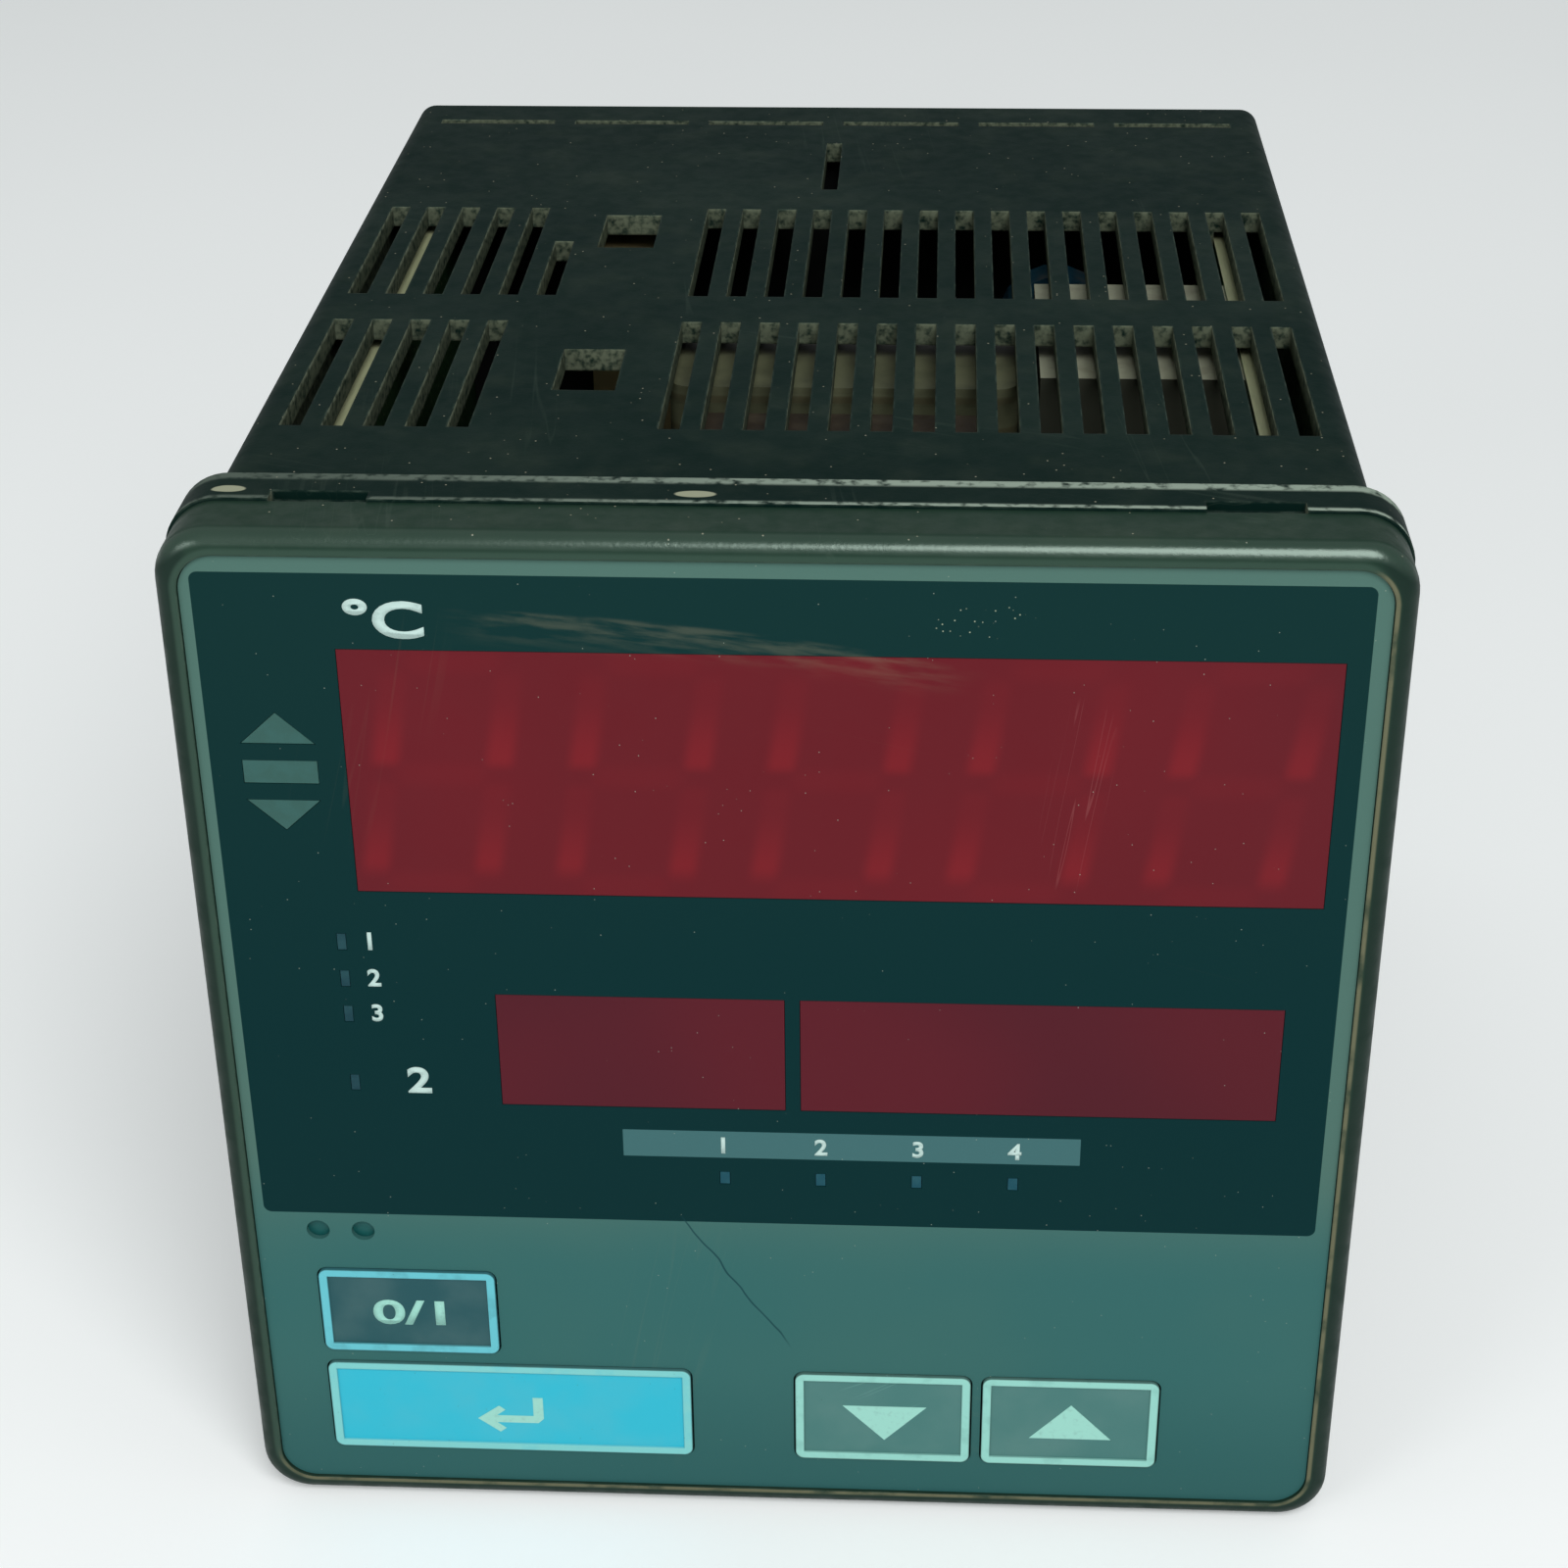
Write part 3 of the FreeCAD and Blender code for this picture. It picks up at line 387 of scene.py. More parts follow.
    def shine(self, mask, specular):
        """Changes how strongly the surface reflects where the mask is 1."""
        socket = self.shader.inputs["Specular IOR Level"]
        plain = socket.default_value
        mixed = self.add("ShaderNodeMix", {0: mask, 2: plain, 3: specular}, data_type="FLOAT")
        self.feed(socket, mixed.outputs[0])

    def lift(self, mask, height):
        """Raises the surface by height metres where the mask is 1."""
        step = self.times(mask, height)
        self.relief = step if self.relief is None else self.plus(self.relief, step)

    def done(self):
        self.feed(self.shader.inputs["Base Color"], self.colour)
        self.feed(self.shader.inputs["Roughness"], self.roughness)
        normal = self.rounding
        if self.relief is not None:
            bump = self.add("ShaderNodeBump", {"Height": self.relief, "Distance": 1.0})
            if normal is not None:
                self.feed(bump.inputs["Normal"], normal)
            normal = bump.outputs[0]
        if normal is not None:
            self.feed(self.shader.inputs["Normal"], normal)
        return self.material


def wear_moulding(mat, look):
    """Grain, handling marks, rubbed edges and dust for every moulding of the housing; the rubbed edges also
    carry a painted highlight.
    """
    cloud = mat.noise(0.018, 3)
    fine = mat.noise(0.0016, 3)
    mat.soften(look.edge_radius)
    mat.tint(mat.ramp(cloud, 0.35, 0.75), look.worn, 0.04)
    mat.lift(mat.noise(0.00035, 2), 0.000012)
    # Rubbed edges: partly wear, partly a painted highlight along the softened edges.
    rub_and_sheen = mat.both(mat.edges(), mat.ramp(fine, 0.38, 0.72))
    mat.tint(rub_and_sheen, look.worn, look.edge_wear)
    for angles in ((0.0, 0.0, 1.45), (0.0, 0.0, 0.35)):
        marks = mat.scratches(0.0016, angles, 0.62)
        mat.tint(marks, look.worn, 0.06)
    up = mat.faces("Z", 0.5, 0.95)
    settled = mat.both(up, mat.clouds(0.005, 5, 0.44, 0.8))
    mat.tint(settled, look.grime, 0.14 * look.dust)
    crumbs = mat.both(up, mat.specks(0.00016, 0.25 * look.dust))
    mat.tint(crumbs, rgb(176, 172, 150), 0.7)
    mat.lift(crumbs, 0.00003)
    mat.polish(mat.ramp(fine, 0.3, 0.8), 0.6)


def case_finish(look):
    mat = Finish("case_plastic", look.plastic, 0.5, 0.05)
    wear_moulding(mat, look)
    slot_end = mat.both(mat.faces("Y", -0.6, -0.95), mat.along("Y", CASE_LOW.y + 0.008, CASE_LOW.y + 0.009))
    patchy = mat.clouds(0.0006, 3, 0.22, 0.66)
    mat.tint(mat.both(slot_end, patchy), look.grime, 0.62)
    slot_side = mat.both(mat.ramp(mat.size(mat.facing["X"]), 0.8, 0.98),
                         mat.ramp(mat.size(mat.at["X"]), 0.0455, 0.045))
    mat.tint(mat.both(slot_side, patchy), look.grime, 0.5)
    lip = mat.both(slot_side, mat.along("Z", BODY_TOP - 0.0005, BODY_TOP - 0.0002),
                   mat.clouds(0.0011, 3, 0.35, 0.6))
    mat.tint(lip, rgb(140, 150, 128), 0.6)
    behind = mat.minus(mat.at["Y"], CASE_LOW.y)
    upward = mat.faces("Z", 0.3, 0.8)
    rightward = mat.plus(0.35, mat.along("X", -0.04, 0.02))
    crumbly = mat.clouds(0.0009, 4, 0.26, 0.56)
    flange_rear = mat.both(mat.ramp(behind, 0.0034, 0.004), mat.ramp(behind, 0.0057, 0.0053))
    flange_front = mat.ramp(behind, 0.0007, 0.0003)
    dusty = mat.both(mat.either(flange_rear, flange_front), upward, crumbly, rightward)
    mat.tint(dusty, rgb(146, 162, 148), 0.8)
    rear = mat.both(mat.along("Y", CASE_HIGH.y - 0.004, CASE_HIGH.y - 0.003),
                    mat.edges(0.998, 0.93), crumbly)
    mat.tint(rear, rgb(120, 142, 134), 0.5)
    on_top = mat.along("Z", CASE_HIGH.z - 0.0004, CASE_HIGH.z - 0.0002)
    for x, length in ((-0.043, 0.00135), (-0.00685, 0.0016)):
        oval = mat.spot("XY", (x, CASE_LOW.y + 0.0017), (length, 0.00062))
        oval = mat.both(oval, on_top)
        mat.tint(oval, rgb(168, 172, 146), 0.85)
        mat.lift(oval, 0.00004)
    return mat.done()


def bezel_finish(look):
    mat = Finish("bezel_plastic", look.bezel, 0.4, 0.18)
    wear_moulding(mat, look)
    rounding = mat.both(mat.faces("Y", -0.15, -0.4), mat.faces("Z", 0.2, 0.5))
    mat.shine(rounding, 0.9)
    mat.polish(rounding, 0.24)
    mat.shader.inputs["Specular Tint"].default_value = (0.8, 1.0, 0.88, 1.0)
    sheet = (SHEET_LOW.x / MM, SHEET_HIGH.x / MM, (SHEET_LOW.z - FACE_Z) / MM, (SHEET_HIGH.z - FACE_Z) / MM)
    outward = mat.box_distance(sheet, 3.0)
    rim = mat.gap(outward, 0.0003)
    line = mat.both(mat.ramp(rim, 0.0005, 0.00015), mat.faces("Y", -0.2, -0.7))
    # Painted shade: the bezel's outer faces along the bottom, the right and the left, where they don't face
    # up, are painted darker.
    low_right = mat.either(mat.along("Z", 0.006, 0.0025), mat.along("X", 0.0435, 0.0455))
    sides = mat.either(low_right, mat.along("X", -0.0445, -0.0455))
    shaded = mat.both(sides, mat.ramp(outward, 0.0003, 0.0007), mat.faces("Z", 0.6, 0.2))
    mat.tint(shaded, rgb(12, 30, 26), 0.65)
    broken = mat.clouds(0.0035, 4, 0.3, 0.55)
    lip = mat.both(mat.ramp(outward, 0.0005, 0.0003), mat.faces("Y", -0.2, -0.7))
    mat.tint(mat.both(lip, low_right, broken), rgb(116, 114, 88), 0.75)
    # Painted highlight: a lighter line along the rim's inner edge at the top and left.
    rim_highlight = mat.both(line, mat.minus(1.0, low_right))
    mat.tint(rim_highlight, rgb(66, 90, 78), 0.4)
    return mat.done()


def sheet_finish(look):
    """Printed polyester sheet: fields, a fine matt texture, scratches, specks and smears."""
    mat = Finish("printed_sheet", look.pale, 0.42, 0.06)
    dark = mat.inside_box(DARK_FIELD, FIELD_CORNER)
    mat.tint(mat.clouds(0.02, 2, 0.35, 0.7), rgb(66, 108, 102), 0.35)
    mat.tint(mat.along("Z", FACE_Z - 0.03, SHEET_LOW.z), rgb(44, 90, 90), 0.6)
    mat.tint(mat.along("Z", FACE_Z - 0.022, FACE_Z - 0.008), look.border)
    mat.tint(dark, look.dark)
    high = mat.both(dark, mat.along("Z", FACE_Z, SHEET_HIGH.z))
    mat.tint(high, rgb(16, 50, 48), 0.6)
    mat.tint(mat.inside_box(ALARM_BAR, 0.05), look.bar)
    wear_face(mat, look)
    mat.lift(mat.noise(0.00022, 2), 0.000005)
    return mat.done()


def wear_face(mat, look):
    """Marks of use that cross the sheet and its windows alike."""
    for angles, patch in (((0.0, 1.35, 0.0), 0.64), ((0.0, -0.25, 0.0), 0.66)):
        marks = mat.scratches(0.0022, angles, patch)
        mat.tint(marks, look.smear, 0.07 * look.wear)
    dots = mat.specks(0.00009, 0.05 * look.wear)
    mat.tint(dots, rgb(170, 180, 165), 0.6)
    start = Vector((-8.6, -16.0)) * MM
    end = Vector((0.5, -30.2)) * MM
    along = (end - start).normalized()
    x = mat.minus(mat.at["X"], start.x + FACE_X)
    z = mat.minus(mat.at["Z"], start.y + FACE_Z)
    travel = mat.plus(mat.times(x, along.x), mat.times(z, along.y))
    across = mat.minus(mat.times(x, along.y), mat.times(z, along.x))
    wander = mat.times(mat.minus(mat.noise(0.006, 2), 0.5), 0.0012)
    away = mat.size(mat.plus(across, wander))
    reach = mat.both(mat.ramp(travel, -0.001, 0.0005),
                     mat.ramp(travel, (end - start).length, (end - start).length - 0.003))
    hairline = mat.both(mat.ramp(away, 0.00012, 0.00003), reach)
    mat.tint(hairline, rgb(20, 60, 66), 0.8)
    arc = mat.minus(mat.at["X"], FACE_X - 0.006)
    bow = mat.times(mat.times(arc, arc), -2.2)
    height = mat.minus(mat.at["Z"], FACE_Z + 0.0393)
    slope = mat.times(arc, 0.11)
    off = mat.plus(mat.minus(height, bow), slope)
    film = mat.both(mat.ramp(off, -0.0026, 0.0004), mat.ramp(off, 0.0011, 0.0007))
    ends = mat.both(mat.ramp(arc, -0.021, -0.013), mat.ramp(arc, 0.0225, 0.012))
    streaks = mat.noise(0.0006, 4, mat.turned((0.0, -0.12, 0.0), (0.15, 1.0, 1.0)))
    film = mat.both(film, ends, mat.ramp(streaks, 0.36, 0.7))
    mat.tint(film, look.smear, 0.3 * look.wear)
    patch = mat.spot("XZ", (FACE_X + 0.0155, FACE_Z + 0.0409), (0.004, 0.0016))
    flecks = mat.both(patch, mat.specks(0.00012, 0.95))
    mat.tint(flecks, rgb(176, 186, 160), 0.75)
    mat.polish(film, 0.6)


def unlit_strokes(mat):
    """Where the unlit strokes of the numerals are painted on the main window, as if seen through it.
    Painted light: the upright strokes are lighter than the level ones, and lighter towards their lower
    ends.
    """
    low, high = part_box("pv_window")
    height = high.z - low.z - 2 * WINDOW_FOOT
    pitch = GHOST_PITCH * (high.x - low.x - 2 * WINDOW_FOOT)
    spread = GHOST_SPREAD * pitch
    reach = GHOST_REACH * height
    stroke = GHOST_STROKE * height
    rise = mat.minus(mat.at["Z"], (low.z + high.z) / 2)
    lean = mat.times(rise, GHOST_SLANT)
    start = (low.x + high.x) / 2 - PV_DIGITS / 2 * pitch
    travel = mat.minus(mat.minus(mat.at["X"], lean), start)
    within = mat.math("MODULO", travel, pitch)
    aside = mat.gap(within, pitch / 2)
    away = mat.gap(aside, spread)
    level = mat.size(rise)
    end_bars = mat.gap(level, reach)
    bars = mat.both(mat.either(mat.ramp(level, 0.8 * stroke, 0.1 * stroke),
                               mat.ramp(end_bars, 0.8 * stroke, 0.1 * stroke)),
                    mat.ramp(aside, spread, spread - stroke))
    upright = mat.both(mat.ramp(away, 0.8 * stroke, 0.2 * stroke),
                       mat.ramp(level, 0.1 * stroke, 0.7 * stroke), mat.ramp(level, reach, reach - stroke))
    # Painted light: each upright stroke is painted lighter towards its lower end, and the level strokes are
    # painted at a quarter.
    foot = mat.math("MODULO", mat.plus(rise, 2 * reach), reach)
    painted_light_fade = mat.plus(0.3, mat.ramp(foot, 0.75 * reach, 0.15 * reach))
    return mat.either(mat.both(upright, painted_light_fade), mat.times(bars, 0.25))


def window_finish(name, colour, look, face, numerals=False):
    """Tinted acrylic: a glossy coloured cover; on the main window the unlit display behind it is painted
    on.
    """
    mat = Finish(name, colour, 0.3, 0.16)
    mat.tint(mat.clouds(0.03, 1, 0.35, 0.7), rgb(120, 20, 32), 0.2)
    ends = mat.either(mat.along("X", 0.02, 0.045), mat.along("X", -0.02, -0.042))
    mat.tint(ends, rgb(84, 16, 28), 0.4)
    if numerals:
        mat.tint(unlit_strokes(mat), look.segment, look.ghost)
    wear_face(mat, face)
    vertical = mat.scratches(0.0009, (0.0, 1.42, 0.0), 0.56, (3.0, 1.0, 0.0))
    near = mat.spot("XZ", (FACE_X + 0.0235, FACE_Z + 0.0255), (0.0035, 0.009))
    mat.tint(mat.both(vertical, near), rgb(170, 104, 104), 0.18)
    mat.polish(mat.clouds(0.004, 3, 0.4, 0.7), 0.4)
    return mat.done()


def lamp_finish(name, colour):
    mat = Finish(name, colour, 0.35, 0.2)
    mat.tint(mat.clouds(0.0012, 2, 0.4, 0.7), rgb(60, 112, 112), 0.15)
    mat.lift(mat.noise(0.0003, 2), 0.00001)
    return mat.done()


def digit_finish(look):
    """Digit modules: dull faces with the strokes sunk into them, a painted highlight on the upright strokes
    and painted shade on the strokes' walls.
    """
    mat = Finish("digit_module", look.module, 0.6, 0.1)
    low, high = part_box("pv_digits")
    front = low.y
    sunk = mat.both(mat.along("Y", front + 0.00008, front + 0.00014), mat.faces("Y", -0.5, -0.9),
                    mat.along("Y", front + 0.0006, front + 0.0004))
    pitch = (high.x - low.x) / PV_DIGITS
    within = mat.math("MODULO", mat.minus(mat.at["X"], low.x), pitch)
    aside = mat.gap(within, pitch / 2)
    upright = mat.ramp(aside, 0.16 * pitch, 0.24 * pitch)
    # Painted highlight: the upright strokes are painted much lighter than the level ones.
    mat.tint(sunk, look.segment, 0.12)
    mat.tint(mat.both(sunk, upright), look.segment)
    # Painted shade: the walls of the sunk strokes that face up or down are painted dark.
    walls = mat.either(mat.faces("Z", 0.4, 0.8), mat.faces("Z", -0.4, -0.8))
    mat.tint(walls, rgb(34, 10, 12))
    mat.lift(mat.noise(0.0004, 2), 0.000002)
    return mat.done()


def key_finish(name, field, border, look):
    """Printed key: a field inside a raised border."""
    low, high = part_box(name + "_key")
    face = (low.x / MM, high.x / MM, (low.z - FACE_Z) / MM + KEY_EAR, (high.z - FACE_Z) / MM - KEY_EAR)
    mat = Finish(name + "_key_print", border, 0.4, 0.18)
    inward = mat.box_distance(face, KEY_CORNER)
    within = mat.ramp(inward, (0.03 - KEY_BORDER) * MM, (-0.03 - KEY_BORDER) * MM)
    mat.tint(within, field)
    mat.tint(mat.both(within, mat.clouds(0.006, 3, 0.35, 0.75)), rgb(150, 176, 168), 0.1)
    rubbed = mat.both(mat.minus(1.0, within), mat.clouds(0.0018, 4, 0.5, 0.72))
    mat.tint(rubbed, field, 0.2)
    outside = mat.ramp(inward, -0.12 * MM, 0.02 * MM)
    mat.tint(outside, rgb(22, 52, 52), 0.8)
    marks = mat.scratches(0.0012, (0.0, 0.5, 0.0), 0.6)
    mat.tint(marks, look.mark, 0.15)
    mat.tint(mat.specks(0.00009, 0.04), rgb(60, 74, 66), 0.6)
    mat.lift(mat.noise(0.00025, 2), 0.000006)
    mat.soften(0.00015)
    return mat.done()


def legend_finish(name, colour):
    """Screen-printed ink, a little thin in places."""
    mat = Finish(name, colour, 0.5, 0.12)
    mat.tint(mat.clouds(0.0005, 3, 0.5, 0.8), rgb(120, 156, 150), 0.3)
    mat.lift(mat.noise(0.0002, 1), 0.000004)
    return mat.done()


def lay_tracks(mat, scale, *places):
    """Fine tracks and pads over a circuit board."""
    for place in places:
        cells = mat.add("ShaderNodeTexVoronoi", {"Vector": place, "Scale": scale}, distance="MANHATTAN")
        tracks = mat.ramp(mat.math("PINGPONG", cells.outputs["Distance"], 0.12), 0.05, 0.065)
        mat.tint(tracks, rgb(96, 132, 84), 0.3)
    mat.tint(mat.specks(0.0004, 0.4), rgb(186, 182, 160), 0.8)


def board_finish(name, face, edge):
    """Circuit board: solder resist with tracks and pads, and bare fibre at its edges."""
    mat = Finish(name, face, 0.38, 0.3)
    quarter = math.radians(90)
    lay_tracks(mat, 260.0, mat.place, mat.turned((quarter, 0.0, quarter), (1.0, 1.0, 1.0), (4.0, 0.0, 0.0)))
    rim = mat.either(mat.ramp(mat.size(mat.facing["Z"]), 0.7, 0.95),
                     mat.ramp(mat.size(mat.facing["Y"]), 0.7, 0.95))
    mat.tint(rim, edge)
    fibre = mat.noise(0.0004, 3, mat.turned((0.0, 0.0, 0.0), (1.0, 0.1, 1.0)))
    mat.tint(mat.both(rim, mat.ramp(fibre, 0.4, 0.7)), rgb(160, 168, 128), 0.4)
    return mat.done()


def flat_board_finish(name, face, edge):
    """Circuit board that lies flat or faces the front: its own faces keep the resist."""
    mat = Finish(name, face, 0.38, 0.3)
    lay_tracks(mat, 240.0, mat.place)
    rim = mat.ramp(mat.size(mat.facing["X"]), 0.7, 0.95)
    mat.tint(rim, edge)
    settled = mat.both(mat.faces("Z", 0.6, 0.95), mat.clouds(0.004, 4, 0.4, 0.7))
    mat.tint(settled, rgb(120, 108, 88), 0.4)
    return mat.done()


def part_finish(name, colour, stain, roughness=0.45, specular=0.25, metallic=0.0, grain=0.0003, sides=None):
    """Small moulded, taped or plated part with dust on top, uneven colour and, if given, painted shade: a
    darker colour on faces that don't face up.
    """
    mat = Finish(name, colour, roughness, specular)
    mat.shader.inputs["Metallic"].default_value = metallic
    mat.tint(mat.clouds(0.006, 4, 0.38, 0.72), stain, 0.45)
    # Painted shade on the faces that don't face up.
    if sides:
        mat.tint(mat.faces("Z", 0.7, 0.4), sides, 0.9)
    dusty = mat.both(mat.faces("Z", 0.6, 0.95), mat.clouds(0.002, 4, 0.42, 0.7))
    mat.tint(dusty, rgb(124, 114, 94), 0.3)
    mat.lift(mat.noise(grain, 2), grain * 0.02)
    mat.polish(mat.clouds(0.001, 2, 0.4, 0.8), min(1.0, roughness + 0.15))
    return mat.done()


def winding_finish(name):
    """Layers of yellowed tape wound round a coil."""
    mat = Finish(name, rgb(118, 122, 94), 0.4, 0.3)
    bands = mat.math("SINE", mat.times(mat.at["Z"], 2200.0))
    mat.tint(mat.ramp(bands, 0.6, 0.95), rgb(96, 84, 60), 0.5)
    mat.lift(mat.ramp(bands, 0.2, 0.9), 0.00003)
    mat.tint(mat.clouds(0.004, 4, 0.4, 0.7), rgb(66, 70, 54), 0.5)
    return mat.done()


# --- helpers for pieces ------------------------------------------------------
def dress(node, material):
    """Gives a CAD node its material."""
    slots = NODES[node].data.materials
    slots.clear()
    slots.append(material)


def dress_parts(name, colour, stain, *nodes, **settings):
    """Gives CAD nodes one small-part material, with its colours from 0 to 255."""
    material = part_finish(name, rgb(*colour), rgb(*stain), **settings)
    for node in nodes:
        dress(node, material)


def pick_only(piece):
    if bpy.context.object and bpy.context.object.mode != "OBJECT":
        leave_edit()
    bpy.ops.object.select_all(action="DESELECT")
    piece.select_set(True)
    bpy.context.view_layer.objects.active = piece


def edit(action="SELECT"):
    """Enters edit mode with everything selected, or nothing."""
    bpy.ops.object.mode_set(mode="EDIT")
    bpy.ops.mesh.select_all(action=action)


def leave_edit():
    bpy.ops.object.mode_set(mode="OBJECT")


def copy_of(model):
    """Copy of a piece with a mesh of its own, in the scene."""
    piece = model.copy()
    piece.data = model.data.copy()
    bpy.context.scene.collection.objects.link(piece)
    return piece


def round_edges(piece, name, width):
    """Rounds the sharp edges of a piece by width metres."""
    edge = piece.modifiers.new(name, "BEVEL")
    edge.width = width
    edge.segments = 3
    edge.limit_method = "ANGLE"
    edge.angle_limit = math.radians(60)
    pick_only(piece)
    bpy.ops.object.modifier_apply(modifier=edge.name)


def settle(piece, name, material, body):
    """Freezes a finished piece's place into its mesh and ties it to its body."""
    pick_only(piece)
    bpy.ops.object.transform_apply(location=True, rotation=True, scale=True)
    piece.name = name
    piece.data.name = name
    piece.data.materials.clear()
    piece.data.materials.append(material)
    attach(piece, body)
    return piece


def smooth_surface(node, body, material):
    """Merged copy of a CAD node whose rounded corners are shaded smooth."""
    piece = copy_of(NODES[node])
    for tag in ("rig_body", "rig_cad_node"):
        if tag in piece:
            del piece[tag]
    piece.parent = None
    pick_only(piece)
    edit()
    bpy.ops.mesh.remove_doubles(threshold=1e-6)
    leave_edit()
    bpy.ops.mesh.customdata_custom_splitnormals_clear()
    bpy.ops.object.shade_smooth_by_angle(angle=SMOOTH_ANGLE)
    weights = piece.modifiers.new("even_shading", "WEIGHTED_NORMAL")
    weights.keep_sharp = True
    bpy.ops.object.modifier_apply(modifier=weights.name)
    settle(piece, node + "_surface", material, body)
    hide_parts(node)


def thicken():
    """Gives a flat shape in edit mode the thickness of print, and leaves edit mode."""
    bpy.ops.mesh.extrude_region_move(TRANSFORM_OT_translate={"value": (0.0, 0.0, PRINT_DEPTH * MM)})
    bpy.ops.mesh.select_all(action="SELECT")
    bpy.ops.mesh.normals_make_consistent(inside=False)
    leave_edit()


def lettering(name, text, box, front, material, body, turn=0.0, weight=0.0):
    """Thin numerals that fill a box on a plane facing the front, or the rear when turned."""
    left, right, bottom, top = (side * MM for side in box)
    bpy.ops.object.text_add()
    curve = bpy.context.object
    curve.data.body = text
    curve.data.offset = weight
    curve.data.resolution_u = 6
    bpy.ops.object.convert(target="MESH")
    piece = bpy.context.object
    pick_only(piece)
    xs = [v.co.x for v in piece.data.vertices]
    ys = [v.co.y for v in piece.data.vertices]
    middle = Vector(((max(xs) + min(xs)) / 2, (max(ys) + min(ys)) / 2, 0.0))
    high = (top - bottom) / (max(ys) - min(ys))
    wide = (right - left) / (max(xs) - min(xs)) if right > left else high
    edit()
    bpy.ops.transform.translate(value=-middle)
    bpy.ops.transform.resize(value=(wide, high, 1.0), center_override=(0.0, 0.0, 0.0))
    bpy.ops.mesh.remove_doubles(threshold=1e-7)
    thicken()
    piece.rotation_euler = (math.pi / 2, 0.0, turn)
    piece.location = (FACE_X + (left + right) / 2, front, FACE_Z + (bottom + top) / 2)
    return settle(piece, name, material, body)


def start_mark():
    """Starts a flat mark on the plane that faces the front, in edit mode."""
    bpy.ops.mesh.primitive_plane_add(size=1.0)
    piece = bpy.context.object
    edit()
    bpy.ops.mesh.delete(type="VERT")
    return piece


def finish_mark(piece, name, front, material, body):
    """Gives a flat mark its thickness and sets it on the face."""
    bpy.ops.mesh.select_all(action="SELECT")
    bpy.ops.mesh.remove_doubles(threshold=1e-6)
    bpy.ops.mesh.normals_make_consistent(inside=False)
    thicken()
    piece.rotation_euler = (math.pi / 2, 0.0, 0.0)
    piece.location = (FACE_X, front, FACE_Z)
    return settle(piece, name, material, body)


def add_outline(corners):
    """Adds a flat shape with the given corners on the face, in millimetres."""
    bpy.ops.mesh.select_all(action="DESELECT")
    bpy.ops.mesh.primitive_circle_add(vertices=len(corners), radius=0.001, fill_type="NGON")
    mesh = bpy.context.object.data
    leave_edit()
    chosen = [v for v in mesh.vertices if v.select]
    for vertex, (x, z) in zip(chosen, corners):
        vertex.co = (x * MM, z * MM, 0.0)
    bpy.ops.object.mode_set(mode="EDIT")


# --- operators ---------------------------------------------------------------
class CONTROLLER_OT_case(Operator):
    """Finish the vented case and its seal"""

    bl_idname = "controller.case"
    bl_label = "Case"

    def execute(self, context):
        look = context.scene.controller_case
        material = case_finish(look)
        dress("case", material)
        smooth_surface("case", HOUSING, material)
        dress_parts("seal_rubber", (88, 104, 92), (112, 122, 108), "bezel_seal", roughness=0.7,
                    specular=0.1)
        return {"FINISHED"}


class CONTROLLER_OT_bezel(Operator):
    """Finish the front bezel with its rounded rim"""

    bl_idname = "controller.bezel"
    bl_label = "Bezel"

    def execute(self, context):
        look = context.scene.controller_case
        smooth_surface("front_bezel", HOUSING, bezel_finish(look))
        return {"FINISHED"}


class CONTROLLER_OT_face(Operator):
    """Print the face sheet and its legends"""

    bl_idname = "controller.face"
    bl_label = "Face print"

    def execute(self, context):
        look = context.scene.controller_face
        dress("front_sheet", sheet_finish(look))
        ink = legend_finish("legend_ink", look.legend)
        numerals = (
            *(("alarm_%d" % n, str(n), (x, x, -8.85, -7.2))
              for n, x in enumerate((-5.3, 2.9, 11.0, 19.05), 1)),
            ("status_1", "1", (-33.6, -33.6, 10.72, 12.4)),
            ("status_2", "2", (-33.5, -33.5, 7.2, 8.88)),
            ("status_3", "3", (-33.5, -33.5, 3.77, 5.45)),
            ("loop_2", "2", (-31.5, -29.5, -3.33, -0.72)),
            ("main_unit", "\u00b0C", (-33.35, -27.2, 38.95, 42.3)),
        )
        for name, text, box in numerals:
            lettering("legend_" + name, text, box, FACE_Y, ink, HOUSING, weight=0.03)
        return {"FINISHED"}


class CONTROLLER_OT_windows(Operator):
    """Tint the windows and the digit modules behind them"""

    bl_idname = "controller.windows"
    bl_label = "Windows"

    def execute(self, context):
        look = context.scene.controller_window
        face = context.scene.controller_face
        dress("pv_window", window_finish("main_window_red", look.main, look, face, True))
        dress("low_window", window_finish("lower_window_red", look.lower, look, face))
        digits = digit_finish(look)
        for node in ("pv_digits", "left_digits", "right_digits"):
            dress(node, digits)
        return {"FINISHED"}


class CONTROLLER_OT_lamps(Operator):
    """Finish the light guides, lamps and optical port"""

    bl_idname = "controller.lamps"
    bl_label = "Lamps"

    def execute(self, context):
        look = context.scene.controller_window
        dress("alarm_light_guide", lamp_finish("alarm_guide", look.lamp))
        dress("status_light_guide", lamp_finish("status_guide", look.status))
        dress("deviation_light_guide", lamp_finish("arrow_guide", look.arrows))
        dress("port_lens", lamp_finish("port_lens_dark", rgb(24, 88, 86)))
        dress_parts("lamp_chip_clear", (190, 186, 160), (150, 140, 110), "lamp_chips")
        return {"FINISHED"}


